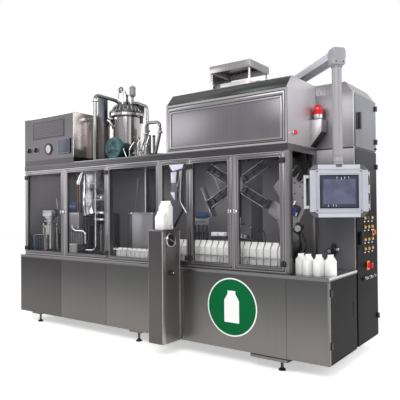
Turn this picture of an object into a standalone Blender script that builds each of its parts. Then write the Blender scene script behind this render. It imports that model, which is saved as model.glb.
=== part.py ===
"""Carton filling machine: a long cabinet base, a glazed guard over it, a hood with an electrical
cabinet at the right end, a dosing tank on the roof and a swinging operator panel.

Metres, +Z up. X runs from the left end to the outfeed end, Y from the operator's side to the back.
Sizes are first given from the left front corner of the base at floor level. At the end everything
is moved so that the origin is at the middle of the footprint, on the floor."""

import math

import bmesh
import bpy
from mathutils import Matrix, Vector

# Driving dimensions: the base
BASE_LENGTH = 4.447
BASE_DEPTH = 1.395
BASE_BOTTOM = 0.14
TABLE_TOP = 0.90
TABLE_THICKNESS = 0.03
COVER_THICKNESS = 0.02
WALL = 0.012
COVER_SEAMS = (0.858, 1.685)
END_PANEL_GROOVE = 4.038
FOOT_XS = (0.30, 2.12, 3.94)
FOOT_INSET = 0.10
FOOT_PAD_RADIUS = 0.045
FOOT_STEM_RADIUS = 0.014
BEARER_WIDTH = 0.18
BEARER_HEIGHT = 0.028
FOOT_SHOULDER = 0.55
FOOT_LEVELS = (0.014, 0.028, 0.035)

# Driving dimensions: the guard
GUARD_FRONT = 0.066
GUARD_TOP = 2.10
GUARD_RIGHT = 4.039
FRAME_DEPTH = 0.03
STILE = 0.062
RAIL = 0.054
HEADER_HEIGHT = 0.048
DOOR_BOTTOM_GAP = 0.006
DOOR_EDGES = (0.006, 0.842, 1.659)
WINDOW_DIVIDER = 2.466
WINDOW_DIVIDER_WIDTH = 0.092
RIGHT_DOOR_EDGES = (2.869, 3.433, 4.012)
DOOR_GAP = 0.004
PANE_THICKNESS = 0.006
PANE_OVERLAP = 0.018
POST = 0.04
ROOF_THICKNESS = 0.015
PANEL_THICKNESS = 0.012
HINGE_STANDOFF = 0.012
LATCH_HEIGHT = 1.485
LATCH_RADIUS = 0.017
LATCH_LENGTH = 0.036
GRIP_THICKNESS = 0.012
GRIP_OVERHANG = 1.3
PANE_BACK_GAP = 0.004
POST_LAP_GAP = 0.002

# Driving dimensions: the hood and what it carries
HOOD_LEFT = 2.583
HOOD_TOP = 2.765
HOOD_CHAMFER_DEPTH = 0.114
HOOD_CHAMFER_START = 2.637
HOOD_WALL = 0.015
VENT_LEFT = 2.86
VENT_RIGHT = 3.39
VENT_FRONT = 0.50
VENT_BACK = 0.93
VENT_TOP = 3.12
VENT_FASCIA = 0.08
VENT_NECK_INSET = 0.075
BRACKET_REACH = 0.121
BRACKET_FRONT = 0.57
BRACKET_WIDTH = 0.13
BRACKET_TOP = 2.395
BRACKET_NOSE = 0.125
BEACON_RADIUS = 0.047
BEACON_BASE_HEIGHT = 0.055
BEACON_DOME_HEIGHT = 0.105
HOOD_BUTTON_Y = 0.18
HOOD_BUTTON_Z = 2.224
BUTTON_RADIUS = 0.024
BUTTON_LENGTH = 0.035
BUTTON_TRAVEL = 0.005
BUTTON_STEM_RADIUS = 0.012
BEACON_FLANGE = 1.12
DOME_STEPS = 4
HOLE_DEPTH = 0.20
JOIN = 0.01

# Driving dimensions: the electrical cabinet
CABINET_FRONT = 0.713
CABINET_BACK = 1.395
CABINET_CHAMFER_WIDTH = 0.093
CABINET_CHAMFER_START = 2.655
CABINET_DIVIDER = 2.105
CABINET_WALL = 0.016
CABINET_DOOR_THICKNESS = 0.017
CABINET_DOOR_MARGIN = 0.024
HANDLE_DEPTH = 0.034
HANDLE_WIDTH = 0.024
UPPER_HANDLE_Z = (2.29, 2.46)
LOWER_HANDLE_Z = (1.14, 1.27)
HANDLE_Y = 0.80
ISOLATOR_Y = 1.06
ISOLATOR_Z = 0.915
ISOLATOR_RADIUS = 0.032
STOP_Y = 1.24
STOP_Z = 1.25
STOP_RADIUS = 0.024
STOP_TRAVEL = 0.005
STOP_STEM_RADIUS = 0.013
STOP_LENGTH = 0.02
ISOLATOR_PLATE = 0.012
ISOLATOR_BOSS = (0.007, 0.037)
ISOLATOR_BAR = (0.03, 0.048)
ISOLATOR_BAR_WIDTH = 0.014

# Driving dimensions: the control box on the roof
BOX_LENGTH = 1.03
BOX_BACK = 1.36
BOX_BOTTOM = 2.185
BOX_TOP = 2.765
BOX_PLINTH_INSET = 0.03
CONTROL_KNOB_XS = (0.11, 0.26)
CONTROL_KNOB_Z = 2.33
CONTROL_KNOB_RADIUS = 0.026
CONTROL_KNOB_LENGTH = 0.035
KNOB_GRIP_SPAN = 0.8

# Driving dimensions: the operator panel on its arm
ARM_PIVOT = (3.77, 0.865)
ARM_END = (4.444, 0.25)
ARM_BOTTOM = 2.86
ARM_HEIGHT = 0.068
ARM_WIDTH = 0.12
ARM_COLUMN_RADIUS = 0.055
ARM_TUBE_RADIUS = 0.038
ARM_CONE_TOP = 1.985
ARM_CONE_RADIUS = 0.072
SCREEN_WIDTH = 0.525
SCREEN_TOP = 1.90
SCREEN_BOTTOM = 1.425
SCREEN_DEPTH = 0.085
SCREEN_HEADING = math.radians(36.2)
SCREEN_HANDLE_REACH = 0.05
SCREEN_HANDLE_SECTION = 0.022
SCREEN_HANDLE_MARGIN = 0.05
ARM_BASE_HEIGHT = 0.012
ARM_BASE_SPREAD = 1.5
CONE_TOP_SPREAD = 1.2

# Driving dimensions: tank, pipe and blower
TANK_CENTRE = (1.36, 0.70)
TANK_RADIUS = 0.185
TANK_TOP = 2.775
TANK_WALL = 0.006
TANK_FLANGE_RADIUS = 0.235
TANK_FLANGE_HEIGHT = 0.03
LID_THICKNESS = 0.025
LID_DOME_HEIGHT = 0.20
LID_WALL = 0.006
TANK_NECK = 0.62
TANK_NECK_HEIGHT = 0.04
TANK_BELLY_RISE = 0.09
TANK_FLOOR = 0.05
TANK_FLOOR_RISE = 0.005
LID_STEPS = 6
FILTER_NECK = 0.4
FILTER_BEVEL = 0.01
FILTER_RADIUS = 0.035
FILTER_HEIGHT = 0.12
FILTER_STEM = 0.05
PIPE_FOOT = (1.29, 0.20)
PIPE_RADIUS = 0.0235
PIPE_TOP = 3.05
PIPE_BEND = 0.09
PIPE_STEPS = 5
PIPE_DROP = 0.6
PIPE_LANDING = (1.335, 0.605)
NOZZLE_RADIUS = 0.036
NOZZLE_TOP = 2.99
NOZZLE_ROOT = 0.77
BLOWER_CENTRE = (1.507, 2.282)
BLOWER_FRONT = 0.29
BLOWER_RADIUS = 0.125
BLOWER_COWL_DEPTH = 0.07
BLOWER_MOTOR_RADIUS = 0.075
BLOWER_MOTOR_DEPTH = 0.11
BLOWER_STAND_WIDTH = 0.17
BLOWER_STAND_INSET = 0.01
BLOWER_STAND_DROP = 0.03
BLOWER_SETBACK = 0.002

# Driving dimensions: the carton magazine in front of the guard
MAGAZINE_LEFT = 2.621
MAGAZINE_RIGHT = 2.811
MAGAZINE_REACH = 0.284
MAGAZINE_TOP = 1.30
PORT_Y = -0.175
PORT_Z = 1.193
PORT_RADIUS = 0.075
PORT_DEPTH = 0.02
MAGAZINE_KNOB_Y = -0.16
MAGAZINE_KNOB_Z = 0.858
MAGAZINE_KNOB_RADIUS = 0.028
MAGAZINE_KNOB_LENGTH = 0.04
MAGAZINE_KNOB_TAPER = 0.85
PORT_SEAT = 0.005
MAGAZINE_CARTON_INSET = 0.003
MAGAZINE_CARTON_FRONT = 0.09
SHORT_CARTON_SIZE = 0.091
SHORT_CARTON_LAP = 0.001

# Driving dimensions: cartons
CARTON_SIZE = 0.095
CARTON_BODY = 0.126
CARTON_TOTAL = 0.19
ROW_CARTON_SIZE = 0.0795
ROW_CARTON_BODY = 0.165
ROW_CARTON_TOTAL = 0.235
TALL_CARTON_BODY = 0.235
TALL_CARTON_TOTAL = 0.30
CARTON_FIN = 0.018
CARTON_FIN_THICKNESS = 0.004
OUTFEED_ROW_LEFT = 4.06
OUTFEED_ROW_FRONT = 0.12
OUTFEED_COUNT = 4
ROW_LEFT = 1.60
ROW_COUNT = 29

# Driving dimensions: works inside the guard
CONVEYOR_LEFT = 1.42
CONVEYOR_RIGHT = 3.96
CONVEYOR_FRONT = 0.22
CONVEYOR_WIDTH = 0.14
CONVEYOR_HEIGHT = 0.035
FILLER_CENTRE = (0.30, 0.26)
FILLER_RADIUS = 0.075
FILLER_BODY_TOP = 1.30
FILLER_BORE_RADIUS = 0.045
FILLER_PLATE = (1.5, 0.02)
FILLER_FLANGE = (1.3, 0.03)
FILLER_FLOOR = 0.06
PISTON_CLEARANCE = 0.02
PISTON_HEIGHT = 0.06
PISTON_CAP_HEIGHT = 0.024
PISTON_ROD_RADIUS = 0.016
PISTON_TOP = 1.52
WHEEL_CENTRE = (3.194, 1.77)
WHEEL_Y = 0.55
WHEEL_WIDTH = 0.09
WHEEL_HUB_RADIUS = 0.11
MANDREL_COUNT = 6
MANDREL_SIZE = 0.072
MANDREL_REACH = 0.455
MANDREL_FIRST_ANGLE = math.radians(30)
WHEEL_SHAFT_RADIUS = 0.03
PEDESTAL_WIDTH = 0.20
PEDESTAL_FRONT = 0.66
PEDESTAL_DEPTH = 0.26
PEDESTAL_HEAD = 0.12
GEARBOX_SIZE = 0.28
GEARBOX_HEIGHT = 0.30
MOTOR_SEAT = 0.01
BORE_RELIEF = 0.001
ARM_ROOT = 0.6
MOTOR_RADIUS = 0.095
MOTOR_LENGTH = 0.34
DRIVE_SHAFT_RADIUS = 0.02
DRIVE_SHAFT_LENGTH = 0.62
SHAFT_ENTRY = 0.12

# Fits
GAP = 0.0003
RUNNING = 0.0006
ROUND_STEPS = 24

PARTS = bpy.data.collections.new("carton_filling_machine")
CUTTERS = bpy.data.collections.new("cutters")
MATERIALS = {}


def clear_scene():
    for thing in list(bpy.data.objects):
        bpy.data.objects.remove(thing, do_unlink=True)
    bpy.context.scene.collection.children.link(PARTS)
    bpy.context.scene.collection.children.link(CUTTERS)


def material(name, colour, roughness, metallic):
    made = bpy.data.materials.new(name)
    made.use_nodes = True
    shader = made.node_tree.nodes["Principled BSDF"]
    shader.inputs["Base Color"].default_value = (*colour, 1)
    shader.inputs["Roughness"].default_value = roughness
    shader.inputs["Metallic"].default_value = metallic
    MATERIALS[name] = made


def make_materials():
    material("steel", (0.42, 0.41, 0.42), 0.35, 1.0)
    material("polished", (0.62, 0.62, 0.63), 0.15, 1.0)
    material("glass", (0.80, 0.85, 0.86), 0.05, 0.0)
    material("black", (0.02, 0.02, 0.02), 0.45, 0.0)
    material("red", (0.60, 0.01, 0.02), 0.30, 0.0)
    material("teal", (0.01, 0.11, 0.12), 0.40, 0.2)
    material("aluminium", (0.62, 0.62, 0.68), 0.40, 0.6)
    material("carton", (0.88, 0.88, 0.86), 0.60, 0.0)
    material("blue", (0.03, 0.09, 0.25), 0.40, 0.2)


def keep(thing, name, finish, origin=None):
    """Name a finished piece, give it its finish and put its origin on its joint's axis."""
    thing.name = name
    thing.data.name = name
    thing.data.materials.clear()
    thing.data.materials.append(MATERIALS[finish])
    for collection in list(thing.users_collection):
        collection.objects.unlink(thing)
    PARTS.objects.link(thing)
    if origin is not None:
        move = Vector(origin) - thing.location
        thing.data.transform(Matrix.Translation(-move))
        thing.location = origin
    return thing


def apply_scale_and_turn(thing):
    turn = thing.rotation_euler.to_matrix().to_4x4()
    stretch = Matrix.Diagonal((*thing.scale, 1))
    thing.data.transform(turn @ stretch)
    thing.rotation_euler = (0, 0, 0)
    thing.scale = (1, 1, 1)


def block(low, high):
    """A box between two corners."""
    centre = [(a + b) / 2 for a, b in zip(low, high)]
    bpy.ops.mesh.primitive_cube_add(size=1, location=centre)
    thing = bpy.context.object
    thing.scale = [b - a for a, b in zip(low, high)]
    apply_scale_and_turn(thing)
    return thing


TURNS = {"x": (0, math.pi / 2, 0), "y": (math.pi / 2, 0, 0), "z": (0, 0, 0)}


def rod(centre, radius, length, axis="z", end_radius=None, steps=ROUND_STEPS):
    """A cylinder, or a cone where end_radius is given, centred along its axis."""
    far = radius if end_radius is None else end_radius
    bpy.ops.mesh.primitive_cone_add(vertices=steps, radius1=radius, radius2=far, depth=length,
                                    location=centre, rotation=TURNS[axis])
    thing = bpy.context.object
    apply_scale_and_turn(thing)
    return thing


def pushed(outline, depth, name):
    """A flat closed outline with straight sides, pushed up by depth from its own plane."""
    curve = bpy.data.curves.new(name, "CURVE")
    curve.dimensions = "2D"
    curve.fill_mode = "BOTH"
    curve.extrude = depth / 2
    line = curve.splines.new("POLY")
    line.points.add(len(outline) - 1)
    for spot, (across, up) in zip(line.points, outline):
        spot.co = (across, up, 0, 1)
    line.use_cyclic_u = True
    thing = bpy.data.objects.new(name, curve)
    bpy.context.scene.collection.objects.link(thing)
    thing = as_mesh(thing)
    thing.data.transform(Matrix.Translation((0, 0, depth / 2)))
    return thing


def slab(outline, bottom, top):
    """A plan outline pushed up from one level to another."""
    thing = pushed(outline, top - bottom, "slab")
    thing.data.transform(Matrix.Translation((0, 0, bottom)))
    return thing


def prism(outline, start, length, axis):
    """An outline pushed along X or Y. Outline points are (across, up)."""
    thing = pushed(outline, length, "prism")
    if axis == "x":
        turn = Matrix(((0, 0, 1), (1, 0, 0), (0, 1, 0))).to_4x4()
        place = Matrix.Translation((start, 0, 0))
    else:
        turn = Matrix(((1, 0, 0), (0, 0, -1), (0, 1, 0))).to_4x4()
        place = Matrix.Translation((0, start + length, 0))
    thing.data.transform(place @ turn)
    return thing


def turned(centre, profile, steps=ROUND_STEPS):
    """A turned shape about Z. The profile runs (radius, height) down the outer side."""
    mesh = bpy.data.meshes.new("turned")
    points = [(radius, 0, height) for radius, height in profile]
    edges = [(i, i + 1) for i in range(len(points) - 1)]
    mesh.from_pydata(points, edges, [])
    thing = bpy.data.objects.new("turned", mesh)
    bpy.context.scene.collection.objects.link(thing)
    thing.location = centre
    screw = thing.modifiers.new("turn", "SCREW")
    screw.steps = steps
    screw.render_steps = steps
    screw.use_merge_vertices = True
    screw.merge_threshold = 0.0001
    return as_mesh(thing)


def as_mesh(thing):
    """The evaluated shape of a curve or of an object with modifiers, as a plain mesh object."""
    bpy.context.view_layer.update()
    evaluated = thing.evaluated_get(bpy.context.evaluated_depsgraph_get())
    mesh = bpy.data.meshes.new_from_object(evaluated)
    shape = bmesh.new()
    shape.from_mesh(mesh)
    bmesh.ops.remove_doubles(shape, verts=shape.verts, dist=0.00002)
    bmesh.ops.recalc_face_normals(shape, faces=shape.faces)
    shape.to_mesh(mesh)
    shape.free()
    fresh = bpy.data.objects.new(thing.name, mesh)
    bpy.context.scene.collection.objects.link(fresh)
    fresh.matrix_world = thing.matrix_world
    bpy.data.objects.remove(thing, do_unlink=True)
    return fresh


def tube(points, radius, resolution=3):
    """A round bar along points, with flat ends."""
    curve = bpy.data.curves.new("tube", "CURVE")
    curve.dimensions = "3D"
    curve.bevel_depth = radius
    curve.bevel_resolution = resolution
    curve.use_fill_caps = True
    line = curve.splines.new("POLY")
    line.points.add(len(points) - 1)
    for spot, point in zip(line.points, points):
        spot.co = (*point, 1)
    thing = bpy.data.objects.new("tube", curve)
    bpy.context.scene.collection.objects.link(thing)
    return as_mesh(thing)


def combine(target, pieces, operation):
    bpy.context.view_layer.update()
    for piece in pieces:
        modifier = target.modifiers.new("combine", "BOOLEAN")
        modifier.operation = operation
        modifier.solver = "EXACT"
        modifier.object = piece
    bpy.ops.object.select_all(action="DESELECT")
    bpy.context.view_layer.objects.active = target
    target.select_set(True)
    for modifier in list(target.modifiers):
        bpy.ops.object.modifier_apply(modifier=modifier.name)


def fuse(target, *pieces):
    """Join overlapping shapes into one closed body."""
    combine(target, pieces, "UNION")
    for piece in pieces:
        bpy.data.objects.remove(piece, do_unlink=True)
    return target


def cut(target, *cutters):
    """Cut holes, and keep the cutters in their own collection."""
    combine(target, cutters, "DIFFERENCE")
    for cutter in cutters:
        cutter.name = "cutter"
        cutter.hide_render = True
        cutter.display_type = "WIRE"
        for collection in list(cutter.users_collection):
            collection.objects.unlink(cutter)
        CUTTERS.objects.link(cutter)
    return target


def smooth(thing, angle=math.radians(40)):
    thing.data.shade_smooth()
    thing.data.set_sharp_from_angle(angle=angle)
    return thing


def arc(centre, start, end, count):
    """Points round a bend, from one unit direction to another, about a centre."""
    points = []
    for i in range(count + 1):
        share = i / count * math.pi / 2
        offset = Vector(start) * math.cos(share) + Vector(end) * math.sin(share)
        points.append(Vector(centre) + offset)
    return points


def carton_outline(size, body, total):
    """The side view of a gable-top carton: body, roof slopes and the sealed fin, from (0, 0)."""
    half = size / 2
    fin = CARTON_FIN_THICKNESS / 2
    shoulder = total - CARTON_FIN
    return [(0, 0), (size, 0), (size, body), (half + fin, shoulder), (half + fin, total),
            (half - fin, total), (half - fin, shoulder), (0, body)]


def cartons(left, front, floor, size, body, total, count):
    outline = [(front + y, floor + z) for y, z in carton_outline(size, body, total)]
    return prism(outline, left, size * count, "x")


def window_frame(left, right, bottom, top, stile=STILE, rail=RAIL):
    outer = block((left, GUARD_FRONT, bottom), (right, GUARD_FRONT + FRAME_DEPTH, top))
    hole = block((left + stile, GUARD_FRONT - WALL, bottom + rail),
                 (right - stile, GUARD_FRONT + FRAME_DEPTH + WALL, top - rail))
    return cut(outer, hole)


def pane(left, right, bottom, top, stile=STILE, rail=RAIL):
    """A glass sheet behind a window frame, lapping over its opening."""
    back = GUARD_FRONT + FRAME_DEPTH + GAP
    return block((left + stile - PANE_OVERLAP, back, bottom + rail - PANE_OVERLAP),
                 (right - stile + PANE_OVERLAP, back + PANE_THICKNESS, top - rail + PANE_OVERLAP))


DOOR_BOTTOM = TABLE_TOP + DOOR_BOTTOM_GAP
DOOR_TOP = GUARD_TOP - HEADER_HEIGHT - DOOR_GAP
GUARD_BACK = BASE_DEPTH - GAP
INNER_FRONT = GUARD_FRONT + FRAME_DEPTH + GAP + PANE_THICKNESS + PANE_BACK_GAP
HINGE_Y = GUARD_FRONT - HINGE_STANDOFF
DECK_BOTTOM = TABLE_TOP - TABLE_THICKNESS
ROOF_TOP = GUARD_TOP + ROOF_THICKNESS
LAP = STILE - PANE_OVERLAP - POST_LAP_GAP


def table_outline(left, front, right, back):
    """The plan of the base: a long rectangle without the corner where the cabinet stands."""
    step_x = GUARD_RIGHT - GAP
    step_y = CABINET_FRONT - GAP
    return [(left, front), (right, front), (right, step_y), (step_x, step_y), (step_x, back),
            (left, back)]


def make_base():
    inside = COVER_THICKNESS + GAP
    wall_top = DECK_BOTTOM - GAP
    end_face = BASE_LENGTH - CABINET_DOOR_THICKNESS - GAP
    body = slab(table_outline(0, inside, end_face, BASE_DEPTH), BASE_BOTTOM, wall_top)
    floor = BASE_BOTTOM + WALL
    above = TABLE_TOP + WALL
    middle = COVER_SEAMS[1]
    left_room = block((WALL, -WALL, floor), (middle - WALL / 2, BASE_DEPTH - WALL, above))
    right_room = block((middle + WALL / 2, -WALL, floor),
                       (GUARD_RIGHT - 2 * WALL, BASE_DEPTH - WALL, above))
    end_room = block((GUARD_RIGHT - 3 * WALL, inside + POST, floor),
                     (BASE_LENGTH + WALL, CABINET_FRONT - WALL, above))
    body = cut(body, left_room, right_room, end_room)
    bearers = []
    half = BEARER_WIDTH / 2
    margin = FOOT_INSET / 3
    for x in FOOT_XS:
        bearers.append(block((x - half, margin, BASE_BOTTOM - BEARER_HEIGHT),
                             (x + half, BASE_DEPTH - margin, BASE_BOTTOM + WALL / 2)))
    keep(fuse(body, *bearers), "base_casing", "steel")

    seams = (0, *COVER_SEAMS, BASE_LENGTH)
    for number, (left, right) in enumerate(zip(seams[:-1], seams[1:]), 1):
        first = left if number == 1 else left + DOOR_GAP / 2
        last = right if number == len(seams) - 1 else right - DOOR_GAP / 2
        cover = block((first, 0, BASE_BOTTOM), (last, COVER_THICKNESS, DECK_BOTTOM - GAP))
        if first < END_PANEL_GROOVE < last:
            groove = block((END_PANEL_GROOVE - DOOR_GAP / 2, -WALL, 0),
                           (END_PANEL_GROOVE + DOOR_GAP / 2, DOOR_GAP, TABLE_TOP))
            cover = cut(cover, groove)
        keep(cover, f"front_cover_{number}", "steel")

    deck = slab(table_outline(0, 0, BASE_LENGTH, BASE_DEPTH), DECK_BOTTOM, TABLE_TOP)
    x, y = wheel_shaft_line()
    shaft_hole = rod((x, y, TABLE_TOP), DRIVE_SHAFT_RADIUS + RUNNING, HOLE_DEPTH)
    keep(cut(deck, shaft_hole), "table_deck", "steel")

    closed_face = BASE_LENGTH - CABINET_DOOR_THICKNESS
    door = block((closed_face, COVER_THICKNESS + DOOR_GAP, BASE_BOTTOM + WALL + DOOR_GAP),
                 (BASE_LENGTH, CABINET_FRONT - 2 * WALL, DECK_BOTTOM - DOOR_GAP))
    axis = (BASE_LENGTH + HINGE_STANDOFF / 2, COVER_THICKNESS + DOOR_GAP, TABLE_TOP / 2)
    keep(door, "base_end_door", "steel", axis)


def make_feet():
    top = BASE_BOTTOM - BEARER_HEIGHT - GAP
    pad = FOOT_PAD_RADIUS
    stem = FOOT_STEM_RADIUS
    rim, shoulder, root = FOOT_LEVELS
    profile = [(0, top), (stem, top), (stem, root), (pad * FOOT_SHOULDER, shoulder), (pad, rim),
               (pad, 0), (0, 0)]
    number = 0
    for y in (FOOT_INSET, BASE_DEPTH - FOOT_INSET):
        for x in FOOT_XS:
            number += 1
            foot = turned((x, y, 0), profile, 16)
            keep(smooth(foot), f"levelling_foot_{number}", "steel")


def header_recess():
    """The space that the header rail takes at the top of a post behind it."""
    bottom = GUARD_TOP - HEADER_HEIGHT - GAP
    return block((-WALL, 0, bottom), (BASE_LENGTH, INNER_FRONT, GUARD_TOP + WALL))


def make_guard():
    floor = TABLE_TOP + GAP
    left_face = DOOR_EDGES[0]
    roof_bottom = GUARD_TOP - GAP
    seat = GUARD_FRONT + FRAME_DEPTH + GAP
    end = block((left_face, seat, floor),
                (left_face + POST, GUARD_BACK - PANEL_THICKNESS - GAP, roof_bottom))
    keep(cut(end, header_recess()), "left_end_frame", "steel")

    rear = block((left_face, GUARD_BACK - PANEL_THICKNESS, floor),
                 (GUARD_RIGHT - GAP, GUARD_BACK, roof_bottom))
    keep(rear, "rear_guard_panel", "steel")

    post_left = RIGHT_DOOR_EDGES[2] + DOOR_GAP / 2
    right_face = GUARD_RIGHT - GAP
    header_bottom = GUARD_TOP - HEADER_HEIGHT
    front_post = block((post_left, GUARD_FRONT, floor),
                       (right_face, GUARD_FRONT + POST, header_bottom + JOIN))
    door_stop = block((post_left - LAP, seat, floor), (right_face, seat + POST, header_bottom - GAP))
    beam = block((post_left, GUARD_FRONT, header_bottom), (right_face, CABINET_FRONT - GAP, roof_bottom))
    rear_post = block((post_left, CABINET_FRONT - GAP - POST, floor),
                      (right_face, CABINET_FRONT - GAP, header_bottom + JOIN))
    keep(fuse(front_post, beam, rear_post, door_stop), "right_end_frame", "steel")

    header = block((left_face, GUARD_FRONT, header_bottom), (post_left - GAP, INNER_FRONT - GAP, ROOF_TOP))
    roof = block((left_face, GUARD_FRONT, GUARD_TOP), (HOOD_LEFT - GAP, GUARD_BACK, ROOF_TOP))
    trim = block((HOOD_LEFT - GAP, 0, GUARD_TOP), (BASE_LENGTH, BASE_DEPTH, HOOD_TOP))
    pipe_hole = rod((*PIPE_FOOT, GUARD_TOP), PIPE_RADIUS + GAP, HOLE_DEPTH)
    keep(cut(fuse(header, roof), trim, pipe_hole), "roof_deck", "steel")

    window_left = DOOR_EDGES[2] + DOOR_GAP / 2
    window_right = RIGHT_DOOR_EDGES[0] - DOOR_GAP / 2
    frame = block((window_left, GUARD_FRONT, floor),
                  (window_right, GUARD_FRONT + FRAME_DEPTH, header_bottom - GAP))
    split = WINDOW_DIVIDER
    half = WINDOW_DIVIDER_WIDTH / 2
    front, back = GUARD_FRONT - WALL, GUARD_FRONT + FRAME_DEPTH + WALL
    low, high = DOOR_BOTTOM + RAIL, DOOR_TOP - RAIL
    wide = block((window_left + STILE, front, low), (split - half, back, high))
    narrow = block((split + half, front, low), (window_right - STILE, back, high))
    frame = cut(frame, wide, narrow)
    post_top = header_bottom - GAP
    for edge, way in ((window_left, 1), (window_right, -1)):
        inner_x = edge + way * LAP
        outer_x = edge - way * LAP
        post = block((min(inner_x, outer_x), seat, floor),
                     (max(inner_x, outer_x), seat + POST, post_top))
        web = block((min(edge, inner_x), GUARD_FRONT + FRAME_DEPTH / 2, floor),
                    (max(edge, inner_x), seat + POST / 2, post_top))
        frame = fuse(frame, post, web)
    keep(frame, "fixed_window_frame", "steel")
    keep(pane(window_left, window_right, DOOR_BOTTOM, DOOR_TOP), "fixed_window_pane", "glass")


def door_list():
    """Number, left edge, right edge and hinge side of each guard door."""
    half = DOOR_GAP / 2
    first, second, third = DOOR_EDGES
    fourth, fifth, sixth = RIGHT_DOOR_EDGES
    return [(1, first, second - half, "left"), (2, second + half, third - half, "right"),
            (3, fourth + half, fifth - half, "left"), (4, fifth + half, sixth - half, "right")]


def make_guard_doors():
    for number, left, right, side in door_list():
        hinge_x = left if side == "left" else right
        axis = (hinge_x, HINGE_Y, (DOOR_BOTTOM + DOOR_TOP) / 2)
        keep(window_frame(left, right, DOOR_BOTTOM, DOOR_TOP), f"guard_door_{number}", "steel", axis)
        keep(pane(left, right, DOOR_BOTTOM, DOOR_TOP), f"guard_door_pane_{number}", "glass", axis)
        latch_x = right - STILE / 2 if side == "left" else left + STILE / 2
        face = GUARD_FRONT - GAP
        latch = turn_knob(latch_x, face, LATCH_HEIGHT, LATCH_RADIUS, LATCH_LENGTH, GRIP_OVERHANG)
        keep(latch, f"door_latch_{number}", "black", (latch_x, face, LATCH_HEIGHT))


def turn_knob(x, face, z, radius, length, span):
    """A round skirt on a front face with a flat grip across it."""
    skirt = rod((x, face - length / 4, z), radius, length / 2, "y", steps=16)
    half = GRIP_THICKNESS / 2
    grip = block((x - half, face - length, z - radius * span),
                 (x + half, face - length / 3, z + radius * span))
    return fuse(skirt, grip)


def push_button(face, y, z, radius, length, stem_radius, travel, wall):
    """A head that stands its travel off a face, and a stem that reaches into a hole in the wall."""
    head = rod((face + travel + length / 2, y, z), radius, length, "x", steps=16)
    stem_length = wall / 2 + travel + length / 2
    stem = rod((face - wall / 2 + stem_length / 2, y, z), stem_radius, stem_length, "x", steps=16)
    return fuse(head, stem)


def make_hood():
    floor = GUARD_TOP + GAP
    chamfer_y = GUARD_FRONT + HOOD_CHAMFER_DEPTH

    def outline(wall):
        slope = math.hypot(HOOD_CHAMFER_DEPTH, HOOD_TOP - HOOD_CHAMFER_START)
        pull = wall * (slope - HOOD_CHAMFER_DEPTH) / (HOOD_TOP - HOOD_CHAMFER_START)
        lift = wall * (slope - (HOOD_TOP - HOOD_CHAMFER_START)) / HOOD_CHAMFER_DEPTH
        base = floor if wall == 0 else floor - HOLE_DEPTH
        return [(GUARD_FRONT + wall, base), (GUARD_FRONT + wall, HOOD_CHAMFER_START - lift),
                (chamfer_y + pull, HOOD_TOP - wall), (BASE_DEPTH - wall, HOOD_TOP - wall),
                (BASE_DEPTH - wall, base)]

    shell = prism(outline(0), HOOD_LEFT, GUARD_RIGHT - GAP - HOOD_LEFT, "x")
    hollow = prism(outline(HOOD_WALL), HOOD_LEFT + HOOD_WALL,
                   GUARD_RIGHT - GAP - HOOD_LEFT - 2 * HOOD_WALL, "x")
    shell = cut(shell, hollow)
    root_x = GUARD_RIGHT - GAP - HOOD_WALL / 2
    nose_x = GUARD_RIGHT + BRACKET_REACH
    side = [(root_x, BRACKET_TOP), (root_x, GUARD_TOP + 2 * JOIN), (nose_x, BRACKET_TOP - BRACKET_NOSE),
            (nose_x, BRACKET_TOP)]
    wedge = prism(side, BRACKET_FRONT, BRACKET_WIDTH, "y")
    stem_hole = rod((GUARD_RIGHT - HOOD_WALL, HOOD_BUTTON_Y, HOOD_BUTTON_Z), BUTTON_STEM_RADIUS + RUNNING,
                    4 * HOOD_WALL, "x", steps=16)
    keep(cut(fuse(shell, wedge), stem_hole), "hood_shell", "steel")

    cap = block((VENT_LEFT, VENT_FRONT, VENT_TOP - VENT_FASCIA), (VENT_RIGHT, VENT_BACK, VENT_TOP))
    inset = VENT_NECK_INSET
    neck = block((VENT_LEFT + inset, VENT_FRONT + inset, HOOD_TOP + GAP),
                 (VENT_RIGHT - inset, VENT_BACK - inset, VENT_TOP - VENT_FASCIA / 2))
    edge = inset + HOOD_WALL
    duct = block((VENT_LEFT + edge, VENT_FRONT + edge, HOOD_TOP - WALL),
                 (VENT_RIGHT - edge, VENT_BACK - edge, VENT_TOP - HOOD_WALL))
    keep(cut(fuse(cap, neck), duct), "roof_vent_cap", "steel")

    x = GUARD_RIGHT + BRACKET_REACH / 2
    y = BRACKET_FRONT + BRACKET_WIDTH / 2
    r = BEACON_RADIUS
    bottom = BRACKET_TOP + GAP
    dome_floor = bottom + BEACON_BASE_HEIGHT
    profile = [(0, dome_floor + BEACON_DOME_HEIGHT)]
    for i in range(1, DOME_STEPS + 1):
        angle = i / DOME_STEPS * math.pi / 2
        profile.append((r * math.sin(angle),
                        dome_floor + BEACON_DOME_HEIGHT - r + r * math.cos(angle)))
    flange = r * BEACON_FLANGE
    profile += [(r, dome_floor), (flange, dome_floor), (flange, bottom), (0, bottom)]
    keep(smooth(turned((x, y, 0), profile, 20)), "warning_beacon", "red")

    button = push_button(GUARD_RIGHT, HOOD_BUTTON_Y, HOOD_BUTTON_Z, BUTTON_RADIUS, BUTTON_LENGTH,
                         BUTTON_STEM_RADIUS, BUTTON_TRAVEL, HOOD_WALL)
    keep(smooth(button), "hood_button", "red", (GUARD_RIGHT, HOOD_BUTTON_Y, HOOD_BUTTON_Z))


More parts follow.
